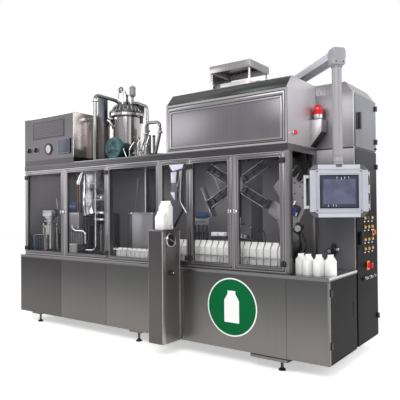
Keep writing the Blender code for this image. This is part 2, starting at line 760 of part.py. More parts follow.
def make_cabinet():
    face = BASE_LENGTH - CABINET_DOOR_THICKNESS - GAP
    left = GUARD_RIGHT
    outline = [(left, BASE_BOTTOM), (face, BASE_BOTTOM), (face, CABINET_CHAMFER_START),
               (BASE_LENGTH - CABINET_CHAMFER_WIDTH, HOOD_TOP), (left, HOOD_TOP)]
    shell = prism(outline, CABINET_FRONT, CABINET_BACK - CABINET_FRONT, "y")
    wall = CABINET_WALL
    hollows = []
    for bottom, top in ((BASE_BOTTOM + wall, CABINET_DIVIDER - wall),
                        (CABINET_DIVIDER + wall, CABINET_CHAMFER_START - 2 * wall)):
        hollows.append(block((left + wall, CABINET_FRONT + 2 * wall, bottom + wall),
                             (BASE_LENGTH + wall, CABINET_BACK - 2 * wall, top - wall)))
    keep(cut(shell, *hollows), "cabinet_shell", "steel")

    near = CABINET_FRONT + CABINET_DOOR_MARGIN
    far = CABINET_BACK - CABINET_DOOR_MARGIN
    axis_x = BASE_LENGTH + HINGE_STANDOFF / 2
    levels = (("cabinet_upper_door", CABINET_DIVIDER + wall / 2, CABINET_CHAMFER_START - wall / 2,
               UPPER_HANDLE_Z),
              ("cabinet_lower_door", BASE_BOTTOM + wall / 2, CABINET_DIVIDER - wall / 2, LOWER_HANDLE_Z))
    for name, bottom, top, grip in levels:
        door = block((face + GAP, near, bottom), (BASE_LENGTH, far, top))
        handle = block((BASE_LENGTH - wall / 2, HANDLE_Y - HANDLE_WIDTH / 2, grip[0]),
                       (BASE_LENGTH + HANDLE_DEPTH, HANDLE_Y + HANDLE_WIDTH / 2, grip[1]))
        door = fuse(door, handle)
        if bottom < STOP_Z < top:
            stem_hole = rod((BASE_LENGTH, STOP_Y, STOP_Z), STOP_STEM_RADIUS + RUNNING,
                            4 * CABINET_DOOR_THICKNESS, "x", steps=16)
            door = cut(door, stem_hole)
        keep(door, name, "steel", (axis_x, far, (bottom + top) / 2))

    x = BASE_LENGTH + GAP
    plate = block((x, ISOLATOR_Y - ISOLATOR_RADIUS, ISOLATOR_Z - ISOLATOR_RADIUS),
                  (x + ISOLATOR_PLATE, ISOLATOR_Y + ISOLATOR_RADIUS, ISOLATOR_Z + ISOLATOR_RADIUS))
    near_end, far_end = ISOLATOR_BOSS
    boss = rod((x + (near_end + far_end) / 2, ISOLATOR_Y, ISOLATOR_Z), ISOLATOR_RADIUS * KNOB_GRIP_SPAN,
               far_end - near_end, "x", steps=16)
    near_end, far_end = ISOLATOR_BAR
    half = ISOLATOR_BAR_WIDTH / 2
    bar = block((x + near_end, ISOLATOR_Y - half, ISOLATOR_Z - ISOLATOR_RADIUS),
                (x + far_end, ISOLATOR_Y + half, ISOLATOR_Z + ISOLATOR_RADIUS))
    keep(fuse(plate, boss, bar), "isolator_switch", "red", (x, ISOLATOR_Y, ISOLATOR_Z))

    stop = push_button(BASE_LENGTH, STOP_Y, STOP_Z, STOP_RADIUS, STOP_LENGTH, STOP_STEM_RADIUS, STOP_TRAVEL,
                       CABINET_DOOR_THICKNESS)
    keep(smooth(stop), "emergency_stop", "red", (BASE_LENGTH, STOP_Y, STOP_Z))


def make_control_box():
    left = DOOR_EDGES[0]
    front = GUARD_FRONT
    inset = BOX_PLINTH_INSET
    box = block((left, front, BOX_BOTTOM), (left + BOX_LENGTH, BOX_BACK, BOX_TOP))
    plinth = block((left + inset, front + inset, ROOF_TOP + GAP),
                   (left + BOX_LENGTH - inset, BOX_BACK - inset, BOX_BOTTOM + WALL))
    hollow = block((left + inset + WALL, front + inset + WALL, GUARD_TOP),
                   (left + BOX_LENGTH - inset - WALL, BOX_BACK - inset - WALL, BOX_TOP - WALL))
    keep(cut(fuse(box, plinth), hollow), "control_box", "steel")
    for number, x in enumerate(CONTROL_KNOB_XS, 1):
        face = front - GAP
        knob = turn_knob(x, face, CONTROL_KNOB_Z, CONTROL_KNOB_RADIUS, CONTROL_KNOB_LENGTH, KNOB_GRIP_SPAN)
        keep(knob, f"control_knob_{number}", "black", (x, face, CONTROL_KNOB_Z))


def make_pendant():
    px, py = ARM_PIVOT
    ex, ey = ARM_END
    run = math.hypot(ex - px, ey - py)
    heading = math.atan2(ey - py, ex - px)
    half = ARM_WIDTH / 2
    beam = block((-half, -half, ARM_BOTTOM), (run + half, half, ARM_BOTTOM + ARM_HEIGHT))
    beam.data.transform(Matrix.Translation(beam.location))
    beam.data.transform(Matrix.Translation((px, py, 0)) @ Matrix.Rotation(heading, 4, "Z"))
    beam.location = (0, 0, 0)
    foot = HOOD_TOP + GAP
    top = ARM_BOTTOM + ARM_HEIGHT / 2
    column = rod((px, py, (foot + top) / 2), ARM_COLUMN_RADIUS, top - foot)
    base = rod((px, py, foot + ARM_BASE_HEIGHT / 2), ARM_COLUMN_RADIUS * ARM_BASE_SPREAD,
               ARM_BASE_HEIGHT)
    hang = rod((ex, ey, (ARM_CONE_TOP + top) / 2), ARM_TUBE_RADIUS, top - ARM_CONE_TOP + 2 * JOIN)
    cone_height = ARM_CONE_TOP - SCREEN_TOP - GAP
    cone = rod((ex, ey, ARM_CONE_TOP - cone_height / 2), ARM_CONE_RADIUS, cone_height,
               end_radius=ARM_TUBE_RADIUS * CONE_TOP_SPREAD)
    arm = fuse(beam, column, base, hang, cone)
    keep(smooth(arm), "pendant_arm", "aluminium", (px, py, ARM_BOTTOM))

    width = SCREEN_WIDTH / 2
    depth = SCREEN_DEPTH / 2
    body = block((-width, -depth, SCREEN_BOTTOM), (width, depth, SCREEN_TOP))
    bar = SCREEN_HANDLE_SECTION
    low = SCREEN_BOTTOM + SCREEN_HANDLE_MARGIN
    high = SCREEN_TOP - SCREEN_HANDLE_MARGIN
    reach = width + SCREEN_HANDLE_REACH
    solids = [block((-reach, -depth, low), (-reach + bar, -depth + bar, high))]
    for z in (low, high - bar):
        solids.append(block((-reach, -depth, z), (-width + bar, -depth + bar, z + bar)))
    panel = fuse(body, *solids)
    panel.data.transform(Matrix.Translation(panel.location))
    panel.data.transform(Matrix.Translation((ex, ey, 0)) @ Matrix.Rotation(SCREEN_HEADING, 4, "Z"))
    panel.location = (0, 0, 0)
    keep(panel, "operator_panel", "aluminium", (ex, ey, SCREEN_TOP))


def make_tank():
    x, y = TANK_CENTRE
    r = TANK_RADIUS
    inner = r - TANK_WALL
    foot = ROOF_TOP + GAP
    belly = foot + TANK_BELLY_RISE
    top = TANK_TOP
    lip = top - TANK_FLANGE_HEIGHT
    neck = r * TANK_NECK
    sump = foot + TANK_FLOOR
    profile = [(inner, top), (TANK_FLANGE_RADIUS, top), (TANK_FLANGE_RADIUS, lip), (r, lip), (r, belly),
               (neck, foot + TANK_NECK_HEIGHT), (neck, foot), (0, foot), (0, sump),
               (neck - TANK_WALL, sump + TANK_FLOOR_RISE), (inner, belly + LID_WALL), (inner, top)]
    keep(smooth(turned((x, y, 0), profile)), "dosing_tank", "polished")

    seat = top + GAP
    rim = seat + LID_THICKNESS
    crown = rim + LID_DOME_HEIGHT
    neck = FILTER_RADIUS * FILTER_NECK
    stem_top = crown + FILTER_STEM
    filter_top = stem_top + FILTER_HEIGHT
    profile = [(0, filter_top), (FILTER_RADIUS - FILTER_BEVEL, filter_top),
               (FILTER_RADIUS, filter_top - FILTER_BEVEL), (FILTER_RADIUS, stem_top),
               (neck, stem_top - FILTER_BEVEL)]
    angles = [math.pi / 2 * i / LID_STEPS for i in range(1, LID_STEPS + 1)]
    for angle in angles:
        radius = neck + (inner - neck) * math.sin(angle)
        profile.append((radius, rim + LID_DOME_HEIGHT * math.cos(angle)))
    profile += [(TANK_FLANGE_RADIUS, rim), (TANK_FLANGE_RADIUS, seat), (inner - LID_WALL, seat)]
    inner_height = LID_DOME_HEIGHT - LID_WALL
    for angle in reversed(angles):
        profile.append(((inner - LID_WALL) * math.sin(angle), rim + inner_height * math.cos(angle)))
    profile.append((0, rim + inner_height))
    lid = turned((x, y, 0), profile)
    lx, ly = PIPE_LANDING
    nozzle_bottom = rim + LID_DOME_HEIGHT * NOZZLE_ROOT
    nozzle = rod((lx, ly, (nozzle_bottom + NOZZLE_TOP) / 2), NOZZLE_RADIUS, NOZZLE_TOP - nozzle_bottom)
    keep(smooth(fuse(lid, nozzle)), "tank_lid", "polished")

    px, py = PIPE_FOOT
    way = Vector((lx - px, ly - py, 0)).normalized() * PIPE_BEND
    rise = Vector((0, 0, PIPE_BEND))
    bottom = TABLE_TOP + GAP
    drop = Vector((0, 0, PIPE_TOP - NOZZLE_TOP - GAP)) * PIPE_DROP
    up = arc(Vector((px, py, PIPE_TOP)) + way - rise, -way, rise, PIPE_STEPS)
    down = arc(Vector((lx, ly, PIPE_TOP)) - way - drop, drop, way, PIPE_STEPS)
    points = [Vector((px, py, bottom)), *up, *down, Vector((lx, ly, NOZZLE_TOP + GAP))]
    keep(smooth(tube(points, PIPE_RADIUS)), "product_pipe", "polished")

    bx, bz = BLOWER_CENTRE
    front = BLOWER_FRONT
    depth = BLOWER_COWL_DEPTH
    cowl = rod((bx, front + depth / 2, bz), BLOWER_RADIUS, depth, "y")
    motor_length = depth + BLOWER_MOTOR_DEPTH
    motor = rod((bx, front + motor_length / 2 + BLOWER_SETBACK, bz), BLOWER_MOTOR_RADIUS,
                motor_length, "y")
    half = BLOWER_STAND_WIDTH / 2
    inset = BLOWER_STAND_INSET
    stand = block((bx - half, front + inset, ROOF_TOP + GAP),
                  (bx + half, front + depth - inset, bz - BLOWER_STAND_DROP))
    keep(smooth(fuse(cowl, motor, stand)), "blower", "teal")


def make_magazine():
    front = -MAGAZINE_REACH
    box = block((MAGAZINE_LEFT, front, BASE_BOTTOM), (MAGAZINE_RIGHT, -GAP, MAGAZINE_TOP))
    port = rod((MAGAZINE_RIGHT + (PORT_DEPTH - PORT_SEAT) / 2, PORT_Y, PORT_Z), PORT_RADIUS,
               PORT_DEPTH + PORT_SEAT, "x")
    inside = block((MAGAZINE_LEFT + WALL, front + WALL, BASE_BOTTOM - WALL),
                   (MAGAZINE_RIGHT - WALL, -WALL, MAGAZINE_TOP - WALL))
    keep(fuse(cut(box, inside), port), "magazine_box", "steel")

    x = MAGAZINE_RIGHT + GAP
    tip = MAGAZINE_KNOB_RADIUS * MAGAZINE_KNOB_TAPER
    knob = rod((x + MAGAZINE_KNOB_LENGTH / 2, MAGAZINE_KNOB_Y, MAGAZINE_KNOB_Z), MAGAZINE_KNOB_RADIUS,
               MAGAZINE_KNOB_LENGTH, "x", end_radius=tip, steps=16)
    keep(smooth(knob), "magazine_knob", "black", (x, MAGAZINE_KNOB_Y, MAGAZINE_KNOB_Z))

    floor = MAGAZINE_TOP + GAP
    left = MAGAZINE_LEFT + MAGAZINE_CARTON_INSET
    front_edge = front + MAGAZINE_CARTON_FRONT
    tall = cartons(left, front_edge, floor, CARTON_SIZE, TALL_CARTON_BODY, TALL_CARTON_TOTAL, 1)
    short = cartons(left + CARTON_SIZE - SHORT_CARTON_LAP, front_edge + SHORT_CARTON_LAP, floor,
                    SHORT_CARTON_SIZE, CARTON_BODY, CARTON_TOTAL, 1)
    keep(fuse(tall, short), "magazine_cartons", "carton")


def make_works():
    cx, cy = FILLER_CENTRE
    floor = TABLE_TOP + GAP
    body = rod((cx, cy, (floor + FILLER_BODY_TOP) / 2), FILLER_RADIUS, FILLER_BODY_TOP - floor)
    spread, height = FILLER_PLATE
    plate = rod((cx, cy, floor + height / 2), FILLER_RADIUS * spread, height)
    spread, height = FILLER_FLANGE
    flange = rod((cx, cy, FILLER_BODY_TOP - height / 2), FILLER_RADIUS * spread, height)
    bore_floor = floor + FILLER_FLOOR
    bore_top = FILLER_BODY_TOP + WALL
    bore = rod((cx, cy, (bore_floor + bore_top) / 2), FILLER_BORE_RADIUS, bore_top - bore_floor)
    keep(smooth(cut(fuse(body, plate, flange), bore)), "filling_cylinder", "polished")

    piston_low = bore_floor + PISTON_CLEARANCE
    head = rod((cx, cy, piston_low + PISTON_HEIGHT / 2), FILLER_BORE_RADIUS - RUNNING, PISTON_HEIGHT)
    stem = rod((cx, cy, (piston_low + PISTON_TOP) / 2), PISTON_ROD_RADIUS, PISTON_TOP - piston_low)
    cap = rod((cx, cy, PISTON_TOP - PISTON_CAP_HEIGHT / 2), PISTON_ROD_RADIUS * 2, PISTON_CAP_HEIGHT)
    keep(smooth(fuse(head, stem, cap)), "filling_piston", "polished", (cx, cy, piston_low))

    bed = block((CONVEYOR_LEFT, CONVEYOR_FRONT, floor),
                (CONVEYOR_RIGHT, CONVEYOR_FRONT + CONVEYOR_WIDTH, TABLE_TOP + CONVEYOR_HEIGHT))
    keep(bed, "conveyor_bed", "steel")
    row_front = CONVEYOR_FRONT + (CONVEYOR_WIDTH - ROW_CARTON_SIZE) / 2
    row = cartons(ROW_LEFT, row_front, TABLE_TOP + CONVEYOR_HEIGHT + GAP, ROW_CARTON_SIZE, ROW_CARTON_BODY,
                  ROW_CARTON_TOTAL, ROW_COUNT)
    keep(row, "carton_row", "carton")
    table_row = cartons(OUTFEED_ROW_LEFT, OUTFEED_ROW_FRONT, floor, CARTON_SIZE, CARTON_BODY, CARTON_TOTAL,
                        OUTFEED_COUNT)
    keep(table_row, "outfeed_cartons", "carton")


def wheel_shaft_line():
    """Where the vertical drive shaft comes up through the table."""
    return WHEEL_CENTRE[0], PEDESTAL_FRONT + PEDESTAL_DEPTH / 2


def make_mandrel_drive():
    wx, wz = WHEEL_CENTRE
    hub = rod((wx, WHEEL_Y, wz), WHEEL_HUB_RADIUS, WHEEL_WIDTH, "y")
    shaft_back = PEDESTAL_FRONT + PEDESTAL_DEPTH - WALL
    shaft = rod((wx, (WHEEL_Y + shaft_back) / 2, wz), WHEEL_SHAFT_RADIUS, shaft_back - WHEEL_Y, "y")
    half = MANDREL_SIZE / 2
    arms = []
    for i in range(MANDREL_COUNT):
        angle = MANDREL_FIRST_ANGLE + i * math.tau / MANDREL_COUNT
        arm = block((WHEEL_HUB_RADIUS * ARM_ROOT, -half, -half), (MANDREL_REACH, half, half))
        arm.data.transform(Matrix.Translation(arm.location))
        arm.data.transform(Matrix.Translation((wx, WHEEL_Y, wz)) @ Matrix.Rotation(-angle, 4, "Y"))
        arm.location = (0, 0, 0)
        arms.append(arm)
    keep(fuse(hub, shaft, *arms), "mandrel_wheel", "polished", (wx, WHEEL_Y, wz))

    floor = TABLE_TOP + GAP
    width = PEDESTAL_WIDTH / 2
    top = wz + PEDESTAL_HEAD
    pedestal = block((wx - width, PEDESTAL_FRONT, floor),
                     (wx + width, PEDESTAL_FRONT + PEDESTAL_DEPTH, top))
    bore = rod((wx, PEDESTAL_FRONT + PEDESTAL_DEPTH / 2 - WALL / 2, wz), WHEEL_SHAFT_RADIUS + RUNNING,
               PEDESTAL_DEPTH - WALL + BORE_RELIEF, "y")
    x, y = wheel_shaft_line()
    entry = rod((x, y, floor), DRIVE_SHAFT_RADIUS + RUNNING, 2 * SHAFT_ENTRY)
    room = block((wx - width + WALL, PEDESTAL_FRONT + WALL, floor + 2 * WALL),
                 (wx + width - WALL, PEDESTAL_FRONT + PEDESTAL_DEPTH + WALL, wz - PEDESTAL_HEAD))
    keep(cut(pedestal, bore, entry, room), "mandrel_bearing", "steel")

    box_floor = BASE_BOTTOM + WALL + GAP
    box_half = GEARBOX_SIZE / 2
    box_top = box_floor + GEARBOX_HEIGHT
    gearbox = block((x - box_half, y - box_half, box_floor), (x + box_half, y + box_half, box_top))
    motor_z = box_floor + GEARBOX_HEIGHT / 2
    motor = rod((x - box_half - MOTOR_LENGTH / 2 + MOTOR_SEAT, y, motor_z), MOTOR_RADIUS, MOTOR_LENGTH, "x")
    shaft_top = floor + SHAFT_ENTRY - RUNNING
    shaft_bottom = shaft_top - DRIVE_SHAFT_LENGTH
    socket_bottom = shaft_bottom - RUNNING
    socket = rod((x, y, (socket_bottom + box_top + WALL) / 2), DRIVE_SHAFT_RADIUS + RUNNING,
                 box_top + WALL - socket_bottom)
    keep(cut(fuse(gearbox, motor), socket), "drive_gearmotor", "blue")
    spindle = rod((x, y, (shaft_top + shaft_bottom) / 2), DRIVE_SHAFT_RADIUS, DRIVE_SHAFT_LENGTH)
    keep(smooth(spindle), "drive_shaft", "polished", (x, y, shaft_bottom))


def centre_on_floor():
    """Hang everything on an empty, and move it so that the footprint's middle is the origin."""
    bpy.context.view_layer.update()
    lows, highs = [], []
    for thing in PARTS.objects:
        corners = [thing.matrix_world @ vertex.co for vertex in thing.data.vertices]
        lows.append([min(corner[i] for corner in corners) for i in range(3)])
        highs.append([max(corner[i] for corner in corners) for i in range(3)])
    low = [min(point[i] for point in lows) for i in range(3)]
    high = [max(point[i] for point in highs) for i in range(3)]
    base_point = bpy.data.objects.new("machine_origin", None)
    PARTS.objects.link(base_point)
    for thing in [*PARTS.objects, *CUTTERS.objects]:
        if thing is not base_point:
            thing.parent = base_point
    base_point.location = (-(low[0] + high[0]) / 2, -(low[1] + high[1]) / 2, -low[2])
    bpy.context.view_layer.update()


def main():
    clear_scene()
    make_materials()
    make_base()
    make_feet()
    make_guard()
    make_guard_doors()
    make_hood()
    make_cabinet()
    make_control_box()
    make_pendant()
    make_tank()
    make_magazine()
    make_works()
    make_mandrel_drive()
    centre_on_floor()


main()
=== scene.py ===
"""The looks of the carton filling machine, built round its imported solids. Metres, +Z up."""

import math

import bpy
from mathutils import Matrix, Vector


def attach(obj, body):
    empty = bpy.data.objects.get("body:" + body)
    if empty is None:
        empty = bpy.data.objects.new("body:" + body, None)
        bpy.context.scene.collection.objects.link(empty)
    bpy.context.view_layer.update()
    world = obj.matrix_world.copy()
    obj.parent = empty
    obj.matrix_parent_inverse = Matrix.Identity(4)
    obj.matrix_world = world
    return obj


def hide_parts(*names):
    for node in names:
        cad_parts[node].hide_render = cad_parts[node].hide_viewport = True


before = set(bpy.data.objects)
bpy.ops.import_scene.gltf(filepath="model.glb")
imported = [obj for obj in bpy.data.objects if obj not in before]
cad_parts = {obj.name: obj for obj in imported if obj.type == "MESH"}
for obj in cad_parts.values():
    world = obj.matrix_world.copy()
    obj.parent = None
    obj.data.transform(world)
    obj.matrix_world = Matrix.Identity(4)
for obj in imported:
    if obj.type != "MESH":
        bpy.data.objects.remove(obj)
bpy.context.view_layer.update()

FINISH = {}
BLACK = "black_plastic"
BRIGHT = "bright_steel"
DARK = "dark_steel"
CAST = "cast_grey"
WHITE = "white_plastic"

# What keeps the face of one piece off the face that it lies on
HAIR = 0.0003
CLEAR = 0.0004

# The camera, as fitted to the long edges in the photograph
CAMERA_PLACE = (3.781536, -4.7175, 1.516)
CAMERA_YAW = 36.19
CAMERA_PITCH = 0.956
CAMERA_ROLL = -0.48
CAMERA_LENS = 45.287

# Heights and lengths that several pieces share
GUARD_FACE = -0.4895
ROOF = 2.115
ON_ROOF = 2.1155
ON_HOOD = 2.7655
HOOD_TOP = 2.765
BASE_FACE = -0.5555
BASE_LEFT = -2.3405
END_FACE = 2.1065
LEFT_EDGE = -2.3345
HOOD_LEFT = 0.2425
HOOD_RIGHT = 1.6982


# Materials

def node_group(name, inputs, outputs):
    tree = bpy.data.node_groups.new(name, "ShaderNodeTree")
    kinds = {"vector": "NodeSocketVector", "colour": "NodeSocketColor", "value": "NodeSocketFloat"}
    for label, kind in inputs:
        tree.interface.new_socket(name=label, in_out="INPUT", socket_type=kinds[kind])
    for label, kind in outputs:
        tree.interface.new_socket(name=label, in_out="OUTPUT", socket_type=kinds[kind])
    return tree, tree.nodes.new("NodeGroupInput").outputs, tree.nodes.new("NodeGroupOutput").inputs


def spread(tree, source, low, high, socket="Result"):
    """Turns a 0 to 1 value into one from low to high."""
    node = tree.nodes.new("ShaderNodeMapRange")
    node.inputs["To Min"].default_value = low
    node.inputs["To Max"].default_value = high
    tree.links.new(source, node.inputs["Value"])
    return node.outputs[socket]


def sum_up(tree, kind, first, second):
    """One step of arithmetic. Each term is a socket or a number."""
    node = tree.nodes.new("ShaderNodeMath")
    node.operation = kind
    for place, term in enumerate((first, second)):
        if isinstance(term, (int, float)):
            node.inputs[place].default_value = term
        else:
            tree.links.new(term, node.inputs[place])
    return node.outputs[0]


def shade(tree, tone, factor):
    """A colour times a value."""
    node = tree.nodes.new("ShaderNodeVectorMath")
    node.operation = "SCALE"
    tree.links.new(tone, node.inputs[0])
    tree.links.new(factor, node.inputs["Scale"])
    return node.outputs[0]


def noise(tree, vector, scale, detail=3.0):
    node = tree.nodes.new("ShaderNodeTexNoise")
    node.inputs["Scale"].default_value = scale
    node.inputs["Detail"].default_value = detail
    tree.links.new(vector, node.inputs["Vector"])
    return node.outputs["Fac"]


def brushed_group():
    """Steel that was brushed along one way: fine streaks, slow clouds, and a tone for each end, blended by
    height as painted light and shade.
    """
    inputs = [("Place", "vector"), ("Grain", "vector"), ("Tone", "colour"), ("Foot tone", "colour"),
        ("Foot", "value"), ("Head", "value"), ("Streaks", "value"), ("Clouds", "value"),
        ("Dullness", "value")]
    tree, given, out = node_group("brushed_steel_grain", inputs,
        [("Colour", "colour"), ("Dullness", "value"), ("Relief", "value")])
    link = tree.links.new
    stretched = tree.nodes.new("ShaderNodeVectorMath")
    stretched.operation = "MULTIPLY"
    link(given["Place"], stretched.inputs[0])
    link(given["Grain"], stretched.inputs[1])
    streaks = noise(tree, stretched.outputs[0], 1.0, 5.0)
    clouds = noise(tree, given["Place"], 1.3, 2.0)
    # Painted light and shade: the colour blends from the foot tone to the tone with height. Set high, Streaks
    # and Clouds paint reflections and highlights.
    height = tree.nodes.new("ShaderNodeSeparateXYZ")
    link(given["Place"], height.inputs[0])
    share = tree.nodes.new("ShaderNodeMapRange")
    share.interpolation_type = "SMOOTHSTEP"
    link(height.outputs["Z"], share.inputs["Value"])
    link(given["Foot"], share.inputs["From Min"])
    link(given["Head"], share.inputs["From Max"])
    tones = tree.nodes.new("ShaderNodeMix")
    tones.data_type = "RGBA"
    link(share.outputs["Result"], tones.inputs["Factor"])
    link(given["Foot tone"], tones.inputs["A"])
    link(given["Tone"], tones.inputs["B"])
    streak_part = sum_up(tree, "MULTIPLY", sum_up(tree, "SUBTRACT", streaks, 0.5), given["Streaks"])
    cloud_part = sum_up(tree, "MULTIPLY", sum_up(tree, "SUBTRACT", clouds, 0.5), given["Clouds"])
    factor = sum_up(tree, "ADD", sum_up(tree, "ADD", streak_part, cloud_part), 1.0)
    link(shade(tree, tones.outputs["Result"], factor), out["Colour"])
    dull = sum_up(tree, "ADD", given["Dullness"], spread(tree, streaks, -0.06, 0.06))
    link(dull, out["Dullness"])
    link(streaks, out["Relief"])
    return tree


def speckle_group():
    """Paint or plastic with a faint mottle and a fine relief."""
    inputs = [("Place", "vector"), ("Tone", "colour"), ("Mottle", "value"), ("Dullness", "value")]
    tree, given, out = node_group("moulded_speckle", inputs,
        [("Colour", "colour"), ("Dullness", "value"), ("Relief", "value")])
    coarse = noise(tree, given["Place"], 9.0)
    fine = noise(tree, given["Place"], 420.0, 2.0)
    part = sum_up(tree, "MULTIPLY", sum_up(tree, "SUBTRACT", coarse, 0.5), given["Mottle"])
    tree.links.new(shade(tree, given["Tone"], sum_up(tree, "ADD", part, 1.0)), out["Colour"])
    dull = sum_up(tree, "ADD", given["Dullness"], spread(tree, coarse, -0.05, 0.05))
    tree.links.new(dull, out["Dullness"])
    tree.links.new(fine, out["Relief"])
    return tree


def holes_group():
    """Sheet punched with rows of round holes, seen from the front."""
    inputs = [("Place", "vector"), ("Tone", "colour"), ("Pitch", "value"), ("Hole", "value"),
        ("Dullness", "value")]
    tree, given, out = node_group("punched_holes", inputs,
        [("Colour", "colour"), ("Dullness", "value"), ("Relief", "value")])
    link = tree.links.new
    axes = tree.nodes.new("ShaderNodeSeparateXYZ")
    link(given["Place"], axes.inputs[0])
    row = sum_up(tree, "DIVIDE", axes.outputs["Z"], given["Pitch"])
    stagger = sum_up(tree, "MULTIPLY", sum_up(tree, "MODULO", sum_up(tree, "FLOOR", row, 0), 2), 0.5)
    column = sum_up(tree, "ADD", sum_up(tree, "DIVIDE", axes.outputs["X"], given["Pitch"]), stagger)
    across = sum_up(tree, "SUBTRACT", sum_up(tree, "FRACT", column, 0), 0.5)
    up = sum_up(tree, "SUBTRACT", sum_up(tree, "FRACT", row, 0), 0.5)
    reach = sum_up(tree, "SQRT", sum_up(tree, "ADD", sum_up(tree, "MULTIPLY", across, across),
        sum_up(tree, "MULTIPLY", up, up)), 0)
    solid = sum_up(tree, "GREATER_THAN", reach, given["Hole"])
    link(shade(tree, given["Tone"], spread(tree, solid, 0.1, 1.0)), out["Colour"])
    link(sum_up(tree, "ADD", given["Dullness"], spread(tree, solid, 0.3, 0)), out["Dullness"])
    link(solid, out["Relief"])
    return tree


BRUSHED = brushed_group()
PUNCHED = holes_group()
SPECKLE = speckle_group()


def dress(name, group, values, metallic, relief, depth, **sockets):
    """A material from one group. Values fill the group's inputs, sockets the shader's own."""
    made = bpy.data.materials.new(name)
    made.use_nodes = True
    tree = made.node_tree
    link = tree.links.new
    shader = tree.nodes["Principled BSDF"]
    effect = tree.nodes.new("ShaderNodeGroup")
    effect.node_tree = group
    place = tree.nodes.new("ShaderNodeTexCoord")
    link(place.outputs["Object"], effect.inputs["Place"])
    for label, value in values.items():
        effect.inputs[label].default_value = (*value, 1) if label.endswith(("Tone", "tone")) else value
    link(effect.outputs["Colour"], shader.inputs["Base Color"])
    link(effect.outputs["Dullness"], shader.inputs["Roughness"])
    bump = tree.nodes.new("ShaderNodeBump")
    bump.inputs["Strength"].default_value = relief
    bump.inputs["Distance"].default_value = depth
    link(effect.outputs["Relief"], bump.inputs["Height"])
    link(bump.outputs["Normal"], shader.inputs["Normal"])
    shader.inputs["Metallic"].default_value = metallic
    for label, value in sockets.items():
        shader.inputs[label.replace("_", " ")].default_value = value
    FINISH[name] = made
    return made


UPRIGHT_GRAIN = (90.0, 90.0, 1.2)
LEVEL_GRAIN = (1.2, 90.0, 90.0)


# foot_tone, foot and head paint light and shade: the tone shifts with height.
def steel(name, tone, foot_tone=None, foot=0.0, head=1.0, grain=UPRIGHT_GRAIN, streaks=0.18, clouds=0.12,
        dullness=0.32, metallic=0.9, **sockets):
    values = {"Grain": grain, "Tone": tone, "Foot tone": foot_tone or tone, "Foot": foot, "Head": head,
        "Streaks": streaks, "Clouds": clouds, "Dullness": dullness}
    return dress(name, BRUSHED, values, metallic, 0.08, 0.0006, **sockets)


def moulded(name, tone, mottle=0.12, dullness=0.4, relief=0.06, **sockets):
    return dress(name, SPECKLE, {"Tone": tone, "Mottle": mottle, "Dullness": dullness}, 0.0, relief, 0.0004,
        **sockets)


DARK_GLOSS = {"Specular_IOR_Level": 0.1, "Specular_Tint": (0.5, 0.5, 0.5, 1.0)}


